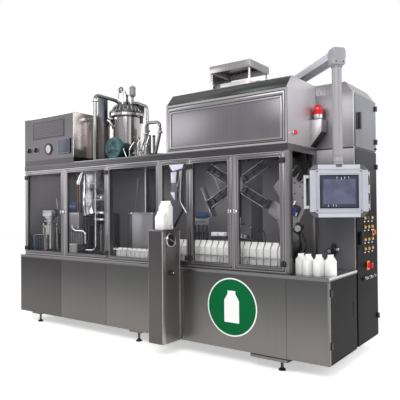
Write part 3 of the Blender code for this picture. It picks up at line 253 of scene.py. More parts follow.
def make_finishes():
    # A foot tone shifts a finish's colour with height, from foot to head: painted light and shade, not a
    # change in the steel. The base covers are one steel in three tones with a lighter foot: the tones are
    # painted light and shade, the lighter foot a painted reflection of the floor.
    steel("base_left_sheet", (0.036, 0.034, 0.036), (0.092, 0.086, 0.083), 0.1, 0.92)
    steel("base_sheet", (0.056, 0.053, 0.055), (0.135, 0.126, 0.121), 0.1, 0.92)
    steel("base_right_sheet", (0.06, 0.062, 0.062), (0.155, 0.145, 0.138), 0.1, 0.92)
    steel("base_end_sheet", (0.034, 0.0325, 0.032), (0.03, 0.0285, 0.028), 0.1, 0.9, clouds=0.9,
        **DARK_GLOSS)
    # lower_door_sheet, upper_door_sheet and cabinet_head change tone with height: painted light and shade, on
    # cabinet_head a painted highlight along its top.
    steel("lower_door_sheet", (0.1, 0.098, 0.105), (0.024, 0.023, 0.024), 1.45, 2.1, clouds=0.6,
        **DARK_GLOSS)
    steel("upper_door_sheet", (0.21, 0.215, 0.245), (0.17, 0.172, 0.195), 2.1, 2.6, clouds=1.3,
        dullness=0.22)
    steel("cabinet_front", (0.25, 0.242, 0.25), clouds=0.3, dullness=0.42)
    steel("cabinet_head", (0.4, 0.385, 0.4), (0.066, 0.064, 0.071), 1.82, 2.1, clouds=0.4, dullness=0.36,
        metallic=0.6)
    steel("bracket_sheet", (0.27, 0.252, 0.258), streaks=0.6, clouds=0.4, dullness=0.42)
    # The magazine box: magazine_front is a darker copy of its steel for the front face, a painted shade
    # beside the lit side; both get lighter towards the foot as painted light.
    steel("magazine_sheet", (0.215, 0.203, 0.197), (0.25, 0.238, 0.23), 0.2, 1.3)
    steel("magazine_front", (0.058, 0.055, 0.055), (0.088, 0.083, 0.08), 0.2, 1.3)
    steel("table_sheet", (0.135, 0.132, 0.133), grain=LEVEL_GRAIN, dullness=0.14)
    # Guard frame steels: the stiles take a lighter tone than the rails as a painted sheen off the brushing,
    # the grooves a dark tone as painted shade, and the edge tones are painted highlights.
    steel("frame_upright", (0.175, 0.167, 0.173), (0.14, 0.133, 0.138), 0.9, 2.1, streaks=0.4)
    steel("frame_edge", (0.27, 0.26, 0.27), streaks=0.3)
    steel("hood_edge", (0.34, 0.33, 0.34), streaks=0.3)
    steel("frame_level", (0.15, 0.143, 0.149), grain=LEVEL_GRAIN, streaks=0.4)
    steel("frame_groove_shade", (0.03, 0.029, 0.03), dullness=0.4)
    steel("header_sheet", (0.054, 0.052, 0.056), grain=LEVEL_GRAIN, streaks=0.6, clouds=0.5)
    steel("hood_upright", (0.28, 0.268, 0.282), streaks=0.3)
    steel("hood_level", (0.215, 0.207, 0.215), grain=LEVEL_GRAIN, streaks=0.35)
    steel("hood_sheet", (0.27, 0.26, 0.268), (0.22, 0.21, 0.217), 2.1, 2.7, dullness=0.28)
    # hood_end_sheet is a much lighter copy of the hood's steel for its end face: painted light, with a tone
    # that shifts with height.
    steel("hood_end_sheet", (0.58, 0.555, 0.59), (0.5, 0.47, 0.49), 2.1, 2.7, clouds=0.3, dullness=0.42)
    steel("hood_panel", (0.15, 0.141, 0.155), streaks=0.2, clouds=0.7)
    steel("hood_slope", (0.036, 0.042, 0.037), grain=LEVEL_GRAIN, clouds=0.6, dullness=0.42, metallic=0.7)
    steel("box_sheet", (0.046, 0.043, 0.046), (0.05, 0.047, 0.051), 2.1, 2.75, grain=LEVEL_GRAIN,
        clouds=0.8)
    # box_side_sheet: the warm light tone and strong streaks are painted reflections on the box's polished
    # side.
    steel("box_side_sheet", (0.84, 0.76, 0.73), (0.6, 0.54, 0.52), 2.1, 2.7, grain=(3.0, 3.0, 2.0),
        streaks=1.9, clouds=0.6, dullness=0.14)
    # plinth_sheet is near-black; on the control box's plinth it is painted shade.
    steel("plinth_sheet", (0.03, 0.028, 0.03), grain=LEVEL_GRAIN)
    steel("inner_wall", (0.18, 0.168, 0.18), (0.22, 0.212, 0.22), 0.9, 2.0, clouds=0.3, dullness=0.38,
        metallic=0.5)
    steel("end_sheet", (0.6, 0.56, 0.57), (0.5, 0.47, 0.48), 2.1, 2.7, clouds=0.4, dullness=0.3)
    # cabinet_side gets lighter towards its foot: painted light and shade.
    steel("cabinet_side", (0.066, 0.064, 0.071), (0.17, 0.164, 0.176), 0.9, 1.4, clouds=0.4, dullness=0.36,
        metallic=0.6)
    dress("perforated_sheet", PUNCHED, {"Tone": (0.05, 0.047, 0.05), "Pitch": 0.021, "Hole": 0.29,
        "Dullness": 0.35}, 0.7, 0.3, 0.001)
    steel("purple_grey", (0.3, 0.285, 0.3), clouds=0.4, dullness=0.4, metallic=0.6)
    steel("head_grey", (0.2, 0.192, 0.2), clouds=0.5, dullness=0.4, metallic=0.5)
    steel("blue_grey", (0.05, 0.055, 0.068), clouds=0.4, dullness=0.3, metallic=0.6)
    steel("hopper_sheet", (0.19, 0.183, 0.195), clouds=0.3, dullness=0.4, metallic=0.6)
    steel("chute_sheet", (0.62, 0.62, 0.72), clouds=0.2, dullness=0.35, metallic=0.3)
    steel("rod_bronze", (0.2, 0.135, 0.095), dullness=0.25)
    # duct_sheet turns brownish and lighter towards its foot: a painted reflection.
    steel("duct_sheet", (0.05, 0.055, 0.066), (0.135, 0.118, 0.108), 2.25, 2.85, dullness=0.35,
        metallic=0.6)
    # pot_steel: the warm tone and upright streaks are painted reflections on the polished pot.
    steel("pot_steel", (0.26, 0.235, 0.225), (0.2, 0.18, 0.17), 2.1, 2.6, grain=(22.0, 22.0, 0.4),
        streaks=1.6, clouds=0.6, dullness=0.18)
    steel("dome_steel", (0.085, 0.09, 0.082), grain=(20.0, 20.0, 20.0), streaks=0.9, dullness=0.2)
    # duct_steel: the strong streaks and clouds paint bright highlights and dark reflections on the crumpled
    # foil duct.
    steel("duct_steel", (0.55, 0.55, 0.57), grain=(11.0, 11.0, 5.0), streaks=5.0, clouds=1.0, dullness=0.12)
    steel("pipe_steel", (0.2, 0.195, 0.193), streaks=0.3, dullness=0.14)
    # tank_steel: the bold upright streaks are painted reflections on the polished tank.
    steel("tank_steel", (0.36, 0.335, 0.34), grain=(34.0, 34.0, 0.2), streaks=4.4, clouds=0.5,
        dullness=0.12)
    steel("dark_steel", (0.05, 0.048, 0.05), dullness=0.35)
    steel("polished_steel", (0.44, 0.43, 0.43), streaks=0.05, clouds=0.5, dullness=0.12)
    steel("bright_steel", (0.62, 0.61, 0.61), streaks=0.05, clouds=0.1, dullness=0.2)
    steel("cast_grey", (0.18, 0.175, 0.182), streaks=0.05, dullness=0.5, metallic=0.6)
    moulded("black_plastic", (0.01, 0.01, 0.011), dullness=0.45, Specular_IOR_Level=0.3)
    moulded("lavender_frame", (0.33, 0.33, 0.375), dullness=0.35)
    moulded("lavender_bar", (0.39, 0.39, 0.43), dullness=0.3)
    moulded("corner_plastic", (0.05, 0.052, 0.062), dullness=0.45)
    moulded("arm_paint", (0.225, 0.22, 0.235), dullness=0.38)
    moulded("red_plastic", (0.6, 0.01, 0.016), dullness=0.25)
    moulded("orange_plastic", (0.72, 0.25, 0.012), dullness=0.3)
    moulded("yellow_lamp", (0.6, 0.36, 0.035), dullness=0.25)
    moulded("white_plastic", (0.66, 0.66, 0.65), dullness=0.35)
    moulded("teal_paint", (0.003, 0.058, 0.064), mottle=0.4, dullness=0.35)
    moulded("teal_light", (0.008, 0.075, 0.088), mottle=0.7, dullness=0.35)
    moulded("teal_rim", (0.004, 0.078, 0.08), mottle=0.4, dullness=0.3)
    moulded("motor_paint", (0.004, 0.02, 0.023), mottle=0.3, dullness=0.4)
    moulded("blue_paint", (0.012, 0.035, 0.1), mottle=0.3, dullness=0.4)
    moulded("navy_paint", (0.006, 0.013, 0.035), mottle=0.3, dullness=0.4)
    moulded("carton_board", (0.72, 0.72, 0.705), mottle=0.05, dullness=0.5)
    moulded("green_disc", (0.0015, 0.09, 0.027), dullness=0.6, Specular_IOR_Level=0.05)
    moulded("screen_glass", (0.03, 0.036, 0.06), mottle=0.9, dullness=0.3, Specular_IOR_Level=0.2)
    moulded("screen_glow", (0.078, 0.085, 0.135), mottle=1.4, dullness=0.3, Specular_IOR_Level=0.2)
    moulded("blue_display", (0.01, 0.015, 0.16), dullness=0.2)
    moulded("screen_border", (0.01, 0.012, 0.018), dullness=0.4, Specular_IOR_Level=0.2)
    moulded("dial_face", (0.36, 0.36, 0.36), dullness=0.35)
    moulded("beacon_lens", (0.42, 0.004, 0.01), mottle=0.5, dullness=0.2,
        Emission_Color=(0.8, 0.01, 0.012, 1), Emission_Strength=0.12)
    glass = moulded("guard_glass", (0.1, 0.11, 0.12), mottle=0.02, dullness=0.03, relief=0.0,
        Specular_IOR_Level=0.12, Alpha=0.06)
    glass.surface_render_method = "DITHERED"


# Ways of making

def edit_mesh():
    bpy.ops.object.mode_set(mode="EDIT")


def leave_mesh():
    bpy.ops.object.mode_set(mode="OBJECT")


def take_only(thing):
    """Leaves edit mode and selects one object alone."""
    if bpy.context.object and bpy.context.object.mode != "OBJECT":
        leave_mesh()
    bpy.ops.object.select_all(action="DESELECT")
    thing.select_set(True)
    bpy.context.view_layer.objects.active = thing


def settle(thing):
    """Puts the place, turn and scale of a piece into its mesh."""
    take_only(thing)
    bpy.ops.object.transform_apply(location=True, rotation=True, scale=True)
    return thing


def modifier(thing, kind, **values):
    take_only(thing)
    made = thing.modifiers.new(kind.lower(), kind)
    for label, value in values.items():
        setattr(made, label, value)
    bpy.ops.object.modifier_apply(modifier=made.name)
    return thing


def rounded(thing, width=0.002, segments=2):
    """Breaks the sharp edges."""
    modifier(thing, "BEVEL", width=width, segments=segments, limit_method="ANGLE",
        angle_limit=math.radians(40), harden_normals=False)
    return shaded(thing)


def shaded(thing, angle=35):
    take_only(thing)
    bpy.ops.object.shade_smooth_by_angle(angle=math.radians(angle))
    return thing


def coat(thing, finish):
    thing.data.materials.clear()
    thing.data.materials.append(FINISH[finish])
    return thing


def plate(low, high, finish, bevel=0.002, segments=2):
    """A block between two corners with its edges broken."""
    middle = [(a + b) / 2 for a, b in zip(low, high)]
    bpy.ops.mesh.primitive_cube_add(size=1, location=middle)
    thing = bpy.context.object
    thing.scale = [b - a for a, b in zip(low, high)]
    settle(thing)
    if bevel:
        rounded(thing, bevel, segments)
    return coat(thing, finish)


def turned(place, rings, finish, axis="z", steps=28, angle=35):
    """A turned piece. The first ring is a disc, and each next (radius, height) is extruded from it."""
    radius, level = rings[0]
    bpy.ops.mesh.primitive_circle_add(vertices=steps, radius=radius, fill_type="NGON",
        location=(0, 0, level))
    thing = bpy.context.object
    edit_mesh()
    bpy.ops.mesh.select_all(action="SELECT")
    for next_radius, next_level in rings[1:]:
        step = {"value": (0, 0, next_level - level)}
        bpy.ops.mesh.extrude_region_move(TRANSFORM_OT_translate=step)
        share = next_radius / radius
        bpy.ops.transform.resize(value=(share, share, 1), center_override=(0, 0, next_level))
        radius, level = next_radius, next_level
    bpy.ops.mesh.select_all(action="SELECT")
    bpy.ops.mesh.normals_make_consistent(inside=False)
    leave_mesh()
    settle(thing)
    ways = {"x": Matrix.Rotation(math.pi / 2, 4, "Y"), "-x": Matrix.Rotation(-math.pi / 2, 4, "Y"),
        "y": Matrix.Rotation(-math.pi / 2, 4, "X"), "-y": Matrix.Rotation(math.pi / 2, 4, "X"),
        "z": Matrix.Identity(4)}
    thing.data.transform(Matrix.Translation(place) @ ways[axis])
    shaded(thing, angle)
    return coat(thing, finish)


def bend(points, radius, steps=6):
    """Rounds the corners of a route."""
    route = [Vector(points[0])]
    for before, corner, after in zip(points, points[1:], points[2:]):
        corner = Vector(corner)
        back = (Vector(before) - corner).normalized() * radius
        ahead = (Vector(after) - corner).normalized() * radius
        for i in range(steps + 1):
            t = i / steps
            route.append(corner + back * (1 - t) ** 2 + ahead * t ** 2)
    route.append(Vector(points[-1]))
    return route


def added(name, data):
    """A new object in the scene."""
    thing = bpy.data.objects.new(name, data)
    bpy.context.scene.collection.objects.link(thing)
    return thing


def drawn(spots, closed=False, **values):
    """The mesh of a curve through the spots, with the curve's own values."""
    curve = bpy.data.curves.new("drawn", "CURVE")
    for label, value in values.items():
        setattr(curve, label, value)
    line = curve.splines.new("POLY")
    line.points.add(len(spots) - 1)
    for point, spot in zip(line.points, spots):
        point.co = spot
    line.use_cyclic_u = closed
    take_only(added("drawn", curve))
    bpy.ops.object.convert(target="MESH")
    return bpy.context.object


def pipe(points, radius, finish, corner=0.05, ends=True):
    """A round pipe along a route with rounded corners."""
    route = bend(points, corner) if len(points) > 2 else [Vector(point) for point in points]
    thing = drawn([(*point, 1) for point in route], dimensions="3D", bevel_depth=radius, bevel_resolution=4,
        use_fill_caps=ends)
    shaded(thing, 50)
    return coat(thing, finish)


def rod(x, y, start, end, radius, finish):
    """A plain upright rod or pipe."""
    return pipe([(x, y, start), (x, y, end)], radius, finish)


def outline_sheet(points, depth, finish, plane="xz", level=0.0, bevel=0.0015):
    """A flat outline given thickness. Plane xz faces the front, yz the end, xy the sky."""
    spots = [(across, up, 0, 1) for across, up in points]
    thing = drawn(spots, closed=True, dimensions="2D", fill_mode="BOTH", extrude=depth / 2)
    ways = {"xz": Matrix(((1, 0, 0), (0, 0, -1), (0, 1, 0))).to_4x4(),
        "yz": Matrix(((0, 0, 1), (1, 0, 0), (0, 1, 0))).to_4x4(), "xy": Matrix.Identity(4)}
    shift = {"xz": (0, level, 0), "yz": (level, 0, 0), "xy": (0, 0, level)}
    thing.data.transform(Matrix.Translation(shift[plane]) @ ways[plane])
    modifier(thing, "WELD", merge_threshold=0.00001)
    if bevel:
        rounded(thing, bevel)
    return coat(thing, finish)


def joined(*things):
    take_only(things[0])
    for thing in things:
        thing.select_set(True)
    bpy.ops.object.join()
    return bpy.context.object


def moved(thing, shift):
    """A copy with a mesh of its own, at another place."""
    twin = thing.copy()
    twin.data = thing.data.copy()
    bpy.context.scene.collection.objects.link(twin)
    twin.data.transform(Matrix.Translation(shift))
    return twin


def swung(thing, centre, axis, angle):
    """Turns a piece about an axis through a point."""
    place = Matrix.Translation(centre)
    thing.data.transform(place @ Matrix.Rotation(angle, 4, axis) @ place.inverted())
    return thing


def spun_copy(thing, centre, axis, angle):
    return swung(moved(thing, (0, 0, 0)), centre, axis, angle)


def ring_of(thing, count, centre, axis, first=0.0):
    """Copies of a piece spread evenly about an axis. The piece itself goes."""
    copies = [spun_copy(thing, centre, axis, first + math.tau * i / count) for i in range(count)]
    bpy.data.objects.remove(thing)
    return copies


def fit(name, body, slot, *things, replaces=()):
    """Joins the shapes of one piece, names it and lets it ride on a body."""
    piece = joined(*things) if len(things) > 1 else things[0]
    piece.name = name
    piece.data.name = name
    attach(piece, body)
    if replaces:
        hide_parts(*replaces)
    return piece


def fixed(name, slot, *things, replaces=()):
    """Fits a piece that stands still with the machine."""
    return fit(name, "machine", slot, *things, replaces=replaces)


make_finishes()


# The solids that stay, each with its finish

KEPT = {"base_casing": "base_sheet", "front_cover_1": "base_left_sheet", "front_cover_2": "base_sheet",
    "front_cover_3": "base_right_sheet", "table_deck": "table_sheet", "base_end_door": "base_end_sheet",
    "left_end_frame": "hood_sheet", "rear_guard_panel": "inner_wall", "right_end_frame": "frame_upright",
    "roof_deck": "header_sheet", "fixed_window_pane": "guard_glass", "hood_shell": "hood_sheet",
    "cabinet_shell": "hood_sheet", "cabinet_upper_door": "upper_door_sheet",
    "cabinet_lower_door": "lower_door_sheet", "control_box": "box_sheet", "dosing_tank": "tank_steel",
    "magazine_box": "magazine_sheet", "conveyor_bed": "table_sheet", "filling_cylinder": "polished_steel",
    "mandrel_bearing": CAST, "drive_gearmotor": "blue_paint", "drive_shaft": BRIGHT}


def finish_kept_solids():
    """Gives each solid its finish. Those that a piece replaces later are hidden and stay plain steel."""
    for name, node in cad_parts.items():
        if name.startswith("guard_door_pane"):
            coat(node, "guard_glass")
        else:
            coat(node, KEPT.get(name, "frame_upright"))


# Guard frames

FRAME_BACK = -0.4595
DOOR_BOTTOM = 0.906
DOOR_TOP = 2.048
STILE = 0.062
RAIL = 0.054


def window_ring(left, right, bottom, top, inner, front=GUARD_FACE, back=FRAME_BACK, lands=(0.01, 0.004),
        tone="frame"):
    """A frame with mitred corners and a grooved face. Inner is the opening's (left, right, bottom, top)."""
    middle = ((left + right) / 2, back, (bottom + top) / 2)
    bpy.ops.mesh.primitive_plane_add(size=1, location=middle, rotation=(math.pi / 2, 0, 0))
    ring = bpy.context.object
    ring.scale = (right - left, top - bottom, 1)
    settle(ring)
    edit_mesh()
    bpy.ops.mesh.select_mode(type="FACE")
    bpy.ops.mesh.select_all(action="SELECT")
    bpy.ops.mesh.inset(thickness=min(right - left, top - bottom) / 8, depth=0)
    leave_mesh()
    hole = [face for face in ring.data.polygons if face.select][0]
    for index in hole.vertices:
        spot = ring.data.vertices[index]
        spot.co.x = inner[0] if spot.co.x < middle[0] else inner[1]
        spot.co.z = inner[2] if spot.co.z < middle[2] else inner[3]
    edit_mesh()
    bpy.ops.mesh.delete(type="ONLY_FACE")
    bpy.ops.mesh.select_all(action="SELECT")
    bpy.ops.mesh.extrude_region_move(TRANSFORM_OT_translate={"value": (0, front - back, 0)})
    land, groove = lands
    for thickness, depth in ((land, 0), (0.0015, -0.004), (groove, 0), (0.0015, 0.004)):
        bpy.ops.mesh.inset(thickness=thickness, depth=depth, use_even_offset=True)
    bpy.ops.mesh.select_all(action="SELECT")
    bpy.ops.mesh.normals_make_consistent(inside=False)
    leave_mesh()
    ring.data.materials.clear()
    # Stiles and rails take lighter and darker tones of one steel, a painted sheen; the groove floors a
    # painted shade; the outer land a painted highlight.
    for finish in (f"{tone}_upright", f"{tone}_level", "frame_groove_shade", f"{tone}_edge"):
        ring.data.materials.append(FINISH[finish])
    for face in ring.data.polygons:
        spot = face.center
        aside = min(spot.x - left, right - spot.x) / max(inner[0] - left, right - inner[1])
        above = min(spot.z - bottom, top - spot.z) / max(inner[2] - bottom, top - inner[3])
        face.material_index = 0 if aside < above else 1
        if face.normal.y < -0.5 and spot.y > front + 0.003:
            face.material_index = 2
        elif face.normal.y < -0.5 and min(spot.x - left, right - spot.x, spot.z - bottom,
            top - spot.z) < land:
            face.material_index = 3
    return rounded(ring, 0.0012, 1)


def hinge_block(low_x, low_z, face=GUARD_FACE, size=(0.058, 0.05, 0.02)):
    """A black hinge: two leaves on a barrel, with their screws."""
    wide, high, deep = size
    middle = low_x + wide / 2
    parts = []
    for side in (-1, 1):
        edge = middle + side * wide / 2
        parts.append(plate((min(middle, edge) + 0.001, face - deep * 0.6, low_z),
            (max(middle, edge) - 0.001, face - CLEAR, low_z + high), BLACK, 0.0025))
        for level in (0.25, 0.75):
            place = (middle + side * wide * 0.3, face - deep * 0.6, low_z + high * level)
            parts.append(turned(place, [(0.0045, 0), (0.0045, 0.0015), (0.0025, 0.0015), (0.002, 0.0006)],
                DARK, "-y", 10))
    parts.append(turned((middle, face - deep * 0.55, low_z),
        [(0.006, 0.001), (0.0075, 0.003), (0.0075, high - 0.003), (0.006, high - 0.001)], BLACK, "z", 12))
    return parts


def latch_knob(x, z, face=GUARD_FACE):
    """A polished turn latch with its rose and flat grip."""
    rose = turned((x, face - HAIR, z), [(0.017, 0), (0.017, 0.004), (0.014, 0.008), (0.009, 0.01),
        (0.009, 0.016)], BRIGHT, "-y", 24)
    grip = plate((x - 0.0055, face - 0.036, z - 0.021), (x + 0.0055, face - 0.013, z + 0.021), BRIGHT,
        0.004, 3)
    return [rose, grip]


GUARD_DOORS = ((1, -2.3345, -1.5005, "left"), (2, -1.4965, -0.6835, "right"), (3, 0.5305, 1.0905, "left"),
    (4, 1.0945, 1.6695, "right"))
LATCH_HEIGHT = 1.485


def make_guard_doors():
    for number, left, right, side in GUARD_DOORS:
        inner = (left + STILE, right - STILE, DOOR_BOTTOM + RAIL, DOOR_TOP - RAIL)
        fit(f"door_{number}_frame", f"door_{number}", "frame_steel",
            window_ring(left, right, DOOR_BOTTOM, DOOR_TOP, inner), replaces=(f"guard_door_{number}",))
        lap = 0.004
        outer = (inner[0] - lap, inner[1] + lap, inner[2] - lap, inner[3] + lap)
        opening = (inner[0] + lap, inner[1] - lap, inner[2] + lap, inner[3] - lap)
        gasket = window_ring(*outer, opening, -0.466, -0.4596, (0.002, 0.001))
        coat(gasket, BLACK)
        fit(f"door_{number}_gasket", f"door_{number}", "black_plastic", gasket)
        hinge_x = left if side == "left" else right - 0.058
        for place, level in (("upper", 1.935), ("lower", 0.965)):
            fit(f"door_{number}_{place}_hinge", f"door_{number}", "black_plastic",
                *hinge_block(hinge_x, level))
        latch_x = right - STILE / 2 if side == "left" else left + STILE / 2
        fit(f"latch_{number}_knob", f"latch_{number}", "polished_steel", *latch_knob(latch_x, LATCH_HEIGHT),
            replaces=(f"door_latch_{number}",))


def make_fixed_windows():
    left, split, right = -0.7215, 0.1255, 0.5685
    low, high = 0.9003, 2.0517
    wide = window_ring(left, split - 0.0015, low, high, (-0.6595, 0.0795, 0.96, 1.994))
    narrow = window_ring(split + 0.0015, right, low, high, (0.1715, 0.5065, 0.96, 1.994))
    posts = [plate((-0.7155, -0.4588, 0.901), (-0.665, -0.4195, 2.05), "frame_upright"),
        plate((0.512, -0.4588, 0.901), (0.562, -0.4195, 2.05), "frame_upright")]
    fixed("fixed_window_profiles", "frame_steel", wide, narrow, *posts, replaces=("fixed_window_frame",))
    for place, level in (("upper", 1.93), ("lower", 0.965)):
        fixed(f"fixed_window_{place}_hinge", "black_plastic", *hinge_block(0.4865, level))


def profile_bar(start, end, bottom, top, face, proud, finish="frame_level", grooves=2):
    """A level grooved bar along X on a front face."""
    depth = 0.003
    step = (top - bottom) / (grooves + 1)
    points = [(face - HAIR, bottom), (face - proud, bottom)]
    for i in range(1, grooves + 1):
        level = bottom + step * i
        points += [(face - proud, level - 0.003), (face - proud + depth, level - 0.002),
            (face - proud + depth, level + 0.002), (face - proud, level + 0.003)]
    points += [(face - proud, top), (face - HAIR, top)]
    bar = outline_sheet(points, end - start, finish, "yz", (start + end) / 2, 0.0008)
    return bar


def make_guard_profiles():
    header = profile_bar(LEFT_EDGE, HOOD_RIGHT, 2.053, 2.113, GUARD_FACE, 0.006, "header_sheet")
    gutter = profile_bar(LEFT_EDGE, HOOD_LEFT - 0.002, 2.116, 2.124, GUARD_FACE + 0.012, 0.012,
        "hood_level", 0)
    fixed("guard_header_profile", "frame_steel", header, gutter)
    fixed("guard_sill", "base_steel", profile_bar(LEFT_EDGE, HOOD_RIGHT, 0.9004, 0.9054, GUARD_FACE + 0.004,
        0.01, "table_sheet", 0))
    fixed("guard_corner_profile", "frame_steel",
        outline_sheet([(1.6732, GUARD_FACE - HAIR), (1.6732, GUARD_FACE - 0.006),
        (1.7045, GUARD_FACE - 0.006), (1.7045, -0.41), (1.6985, -0.41), (1.6985, GUARD_FACE - HAIR)], 1.145,
        "frame_upright", "xy", 0.906 + 0.5725))
    wall = plate((-2.2935, 0.8215, 0.902), (1.628, 0.8266, 2.098), "inner_wall", 0)
    lining = plate((-2.2942, -0.4585, 0.902), (-2.291, 0.8215, 2.05), "inner_wall", 0)
    fixed("guard_lining", "base_steel", wall, lining)


# The base

def edge_profile(face, way):
    """The section of the table's folded edge on a face that looks along way."""
    steps = ((CLEAR, 0.884), (0.003, 0.885), (0.003, 0.9015), (-0.012, 0.9035), (-0.012, 0.9005),
        (CLEAR, 0.9002))
    return [(face + way * out, level) for out, level in steps]


def make_base_trim():
    lip = outline_sheet(edge_profile(BASE_FACE, -1), END_FACE - BASE_LEFT + 0.002, "frame_level", "yz",
        (BASE_LEFT + END_FACE) / 2, 0.0006)
    end_lip = outline_sheet(edge_profile(END_FACE, 1), 0.712, BRIGHT, "xz", -0.1995, 0.0006)
    fixed("table_edge", "base_steel", lip, end_lip)
    fixed("base_corner_angle", "base_steel",
        outline_sheet([(END_FACE + 0.003, BASE_FACE - 0.003), (END_FACE + 0.003, BASE_FACE + 0.021),
        (END_FACE + CLEAR, BASE_FACE + 0.021), (END_FACE + CLEAR, BASE_FACE - CLEAR),
        (END_FACE - 0.014, BASE_FACE - CLEAR), (END_FACE - 0.014, BASE_FACE - 0.003)], 0.726, "table_sheet",
        "xy", 0.141 + 0.363, 0.0006))
    fixed("base_end_rail", "base_steel", plate((2.09, -0.53, 0.1405), (2.1062, 0.134, 0.1545),
        "base_end_sheet", 0.001))


def make_end_door():
    face = END_FACE
    slot = [plate((face - 0.001, 0.062, 0.448), (face + 0.004, 0.078, 0.606), BLACK, 0.003),
        plate((face + 0.002, 0.066, 0.455), (face + 0.006, 0.074, 0.599), DARK, 0.002)]
    fit("base_end_door_handle", "end_door", "black_plastic", *slot)
    for place, level in (("upper", 0.74), ("lower", 0.28)):
        parts = [plate((face + CLEAR, -0.5305, level), (face + 0.012, -0.497, level + 0.06), BLACK, 0.003),
            turned((face + 0.006, -0.5315, level - 0.003),
            [(0.004, 0), (0.006, 0.002), (0.006, 0.064), (0.004, 0.066)], BLACK, "z", 12)]
        fit(f"base_end_door_{place}_hinge", "end_door", "black_plastic", *parts)


FOOT_PLACES = ((-2.04046, -0.4555), (-0.22046, -0.4555), (1.59954, -0.4555), (-2.04046, 0.7395),
    (-0.22046, 0.7395), (1.59954, 0.7395))


def make_feet():
    """Levelling feet: a rubber-soled pad, a domed shoulder, a threaded stem and a lock nut."""
    sole = [(0.034, 0), (0.035, 0.002), (0.035, 0.009), (0.033, 0.01), (0.028, 0.017), (0.018, 0.024),
        (0.015, 0.034)]
    rings = [(0.014, 0.03)]
    level = 0.034
    while level < 0.094:
        rings += [(0.0125, level), (0.014, level + 0.0015)]
        level += 0.003
    rings += [(0.014, 0.1115)]
    nut_rings = [(0.02, 0.094), (0.024, 0.096), (0.024, 0.108), (0.02, 0.11)]
    for number, (x, y) in enumerate(FOOT_PLACES, 1):
        pad = turned((x, y, 0), sole, DARK, "z", 24)
        stem = turned((x, y, 0), rings, CAST, "z", 20)
        nut = turned((x, y, 0), nut_rings, CAST, "z", 6, 20)
        fixed(f"foot_{number}", "polished_steel", pad, stem, nut, replaces=(f"levelling_foot_{number}",))
    channel = outline_sheet([(1.315, 0.1402), (1.315, 0.104), (1.7, 0.104), (1.763, 0.1402)], 0.15,
        "plinth_sheet", "xz", -0.4785, 0.002)
    lip = plate((1.315, -0.5548, 0.104), (1.702, -0.5532, 0.128), "base_right_sheet", 0)
    fixed("foot_channel", "base_steel", channel, lip)


# The hood and what it carries

HOOD_EAVE = 2.637
HOOD_CREST = -0.3755


def make_hood():
    face = GUARD_FACE - CLEAR
    fixed("hood_front_band", "hood_steel", window_ring(HOOD_LEFT + 0.002, HOOD_RIGHT - 0.001, 2.116, 2.634,
        (0.3095, 1.6245, 2.18, 2.545), face - 0.008, face, (0.018, 0.008), "hood"))
    fixed("hood_front_panel", "hood_steel", plate((0.3098, face - 0.002, 2.1803), (1.6242, face, 2.5447),
        "hood_panel", 0.0008))
    slope = Vector((HOOD_CREST - GUARD_FACE, HOOD_TOP - HOOD_EAVE)).normalized()
    out = Vector((-slope.y, slope.x))
    low, high = Vector((GUARD_FACE, HOOD_EAVE)), Vector((HOOD_CREST, HOOD_TOP))
    sheet = [low + out * 0.0005 + slope * 0.004, high + out * 0.0005 - slope * 0.004,
        high + out * 0.002 - slope * 0.004, low + out * 0.002 + slope * 0.004]
    fixed("hood_slope_sheet", "hood_steel", outline_sheet(sheet, HOOD_RIGHT - HOOD_LEFT - 0.004,
        "hood_slope", "yz", (HOOD_LEFT + HOOD_RIGHT) / 2, 0))
    fixed("hood_end_sheet", "hood_steel",
        outline_sheet([(GUARD_FACE + 0.001, 2.117), (0.155, 2.117), (0.155, HOOD_TOP - 0.001),
        (HOOD_CREST, HOOD_TOP - 0.001), (GUARD_FACE + 0.001, HOOD_EAVE)], 0.0012, "hood_end_sheet", "yz",
        HOOD_RIGHT + 0.0009, 0))
    # Bright strips along the hood's folded edges and crest: painted highlights.
    edges = []
    for left, right in ((HOOD_LEFT + 0.001, HOOD_LEFT + 0.008), (HOOD_RIGHT - 0.008, HOOD_RIGHT + 0.001)):
        rim = [low + out * 0.0005, high + out * 0.0005, high + out * 0.004, low + out * 0.004]
        edges.append(outline_sheet(rim, right - left, BRIGHT, "yz", (left + right) / 2, 0.0008))
    edges.append(plate((HOOD_LEFT, HOOD_CREST - 0.002, HOOD_TOP + CLEAR),
        (HOOD_RIGHT, HOOD_CREST + 0.012, HOOD_TOP + 0.003), BRIGHT, 0.001))
    fixed("hood_edges", "hood_steel", *edges)


def make_bracket_cover():
    top, nose = 2.3945, 1.8195
    front = outline_sheet([(1.6995, top), (1.6995, 2.128), (nose, 2.272), (nose, top)], 0.0016,
        "bracket_sheet", "xz", 0.0133)
    end = plate((nose + CLEAR, 0.0135, 2.274), (nose + 0.002, 0.1455, top), "bracket_sheet", 0.0006)
    # A dark sheet on the underside: painted shade.
    under = outline_sheet([(1.7, 2.1265), (1.7, 2.1245), (nose + 0.001, 2.2685), (nose + 0.001, 2.2705)],
        0.132, DARK, "xz", 0.0795, 0)
    fixed("beacon_bracket_cover", "hood_steel", front, end, under)


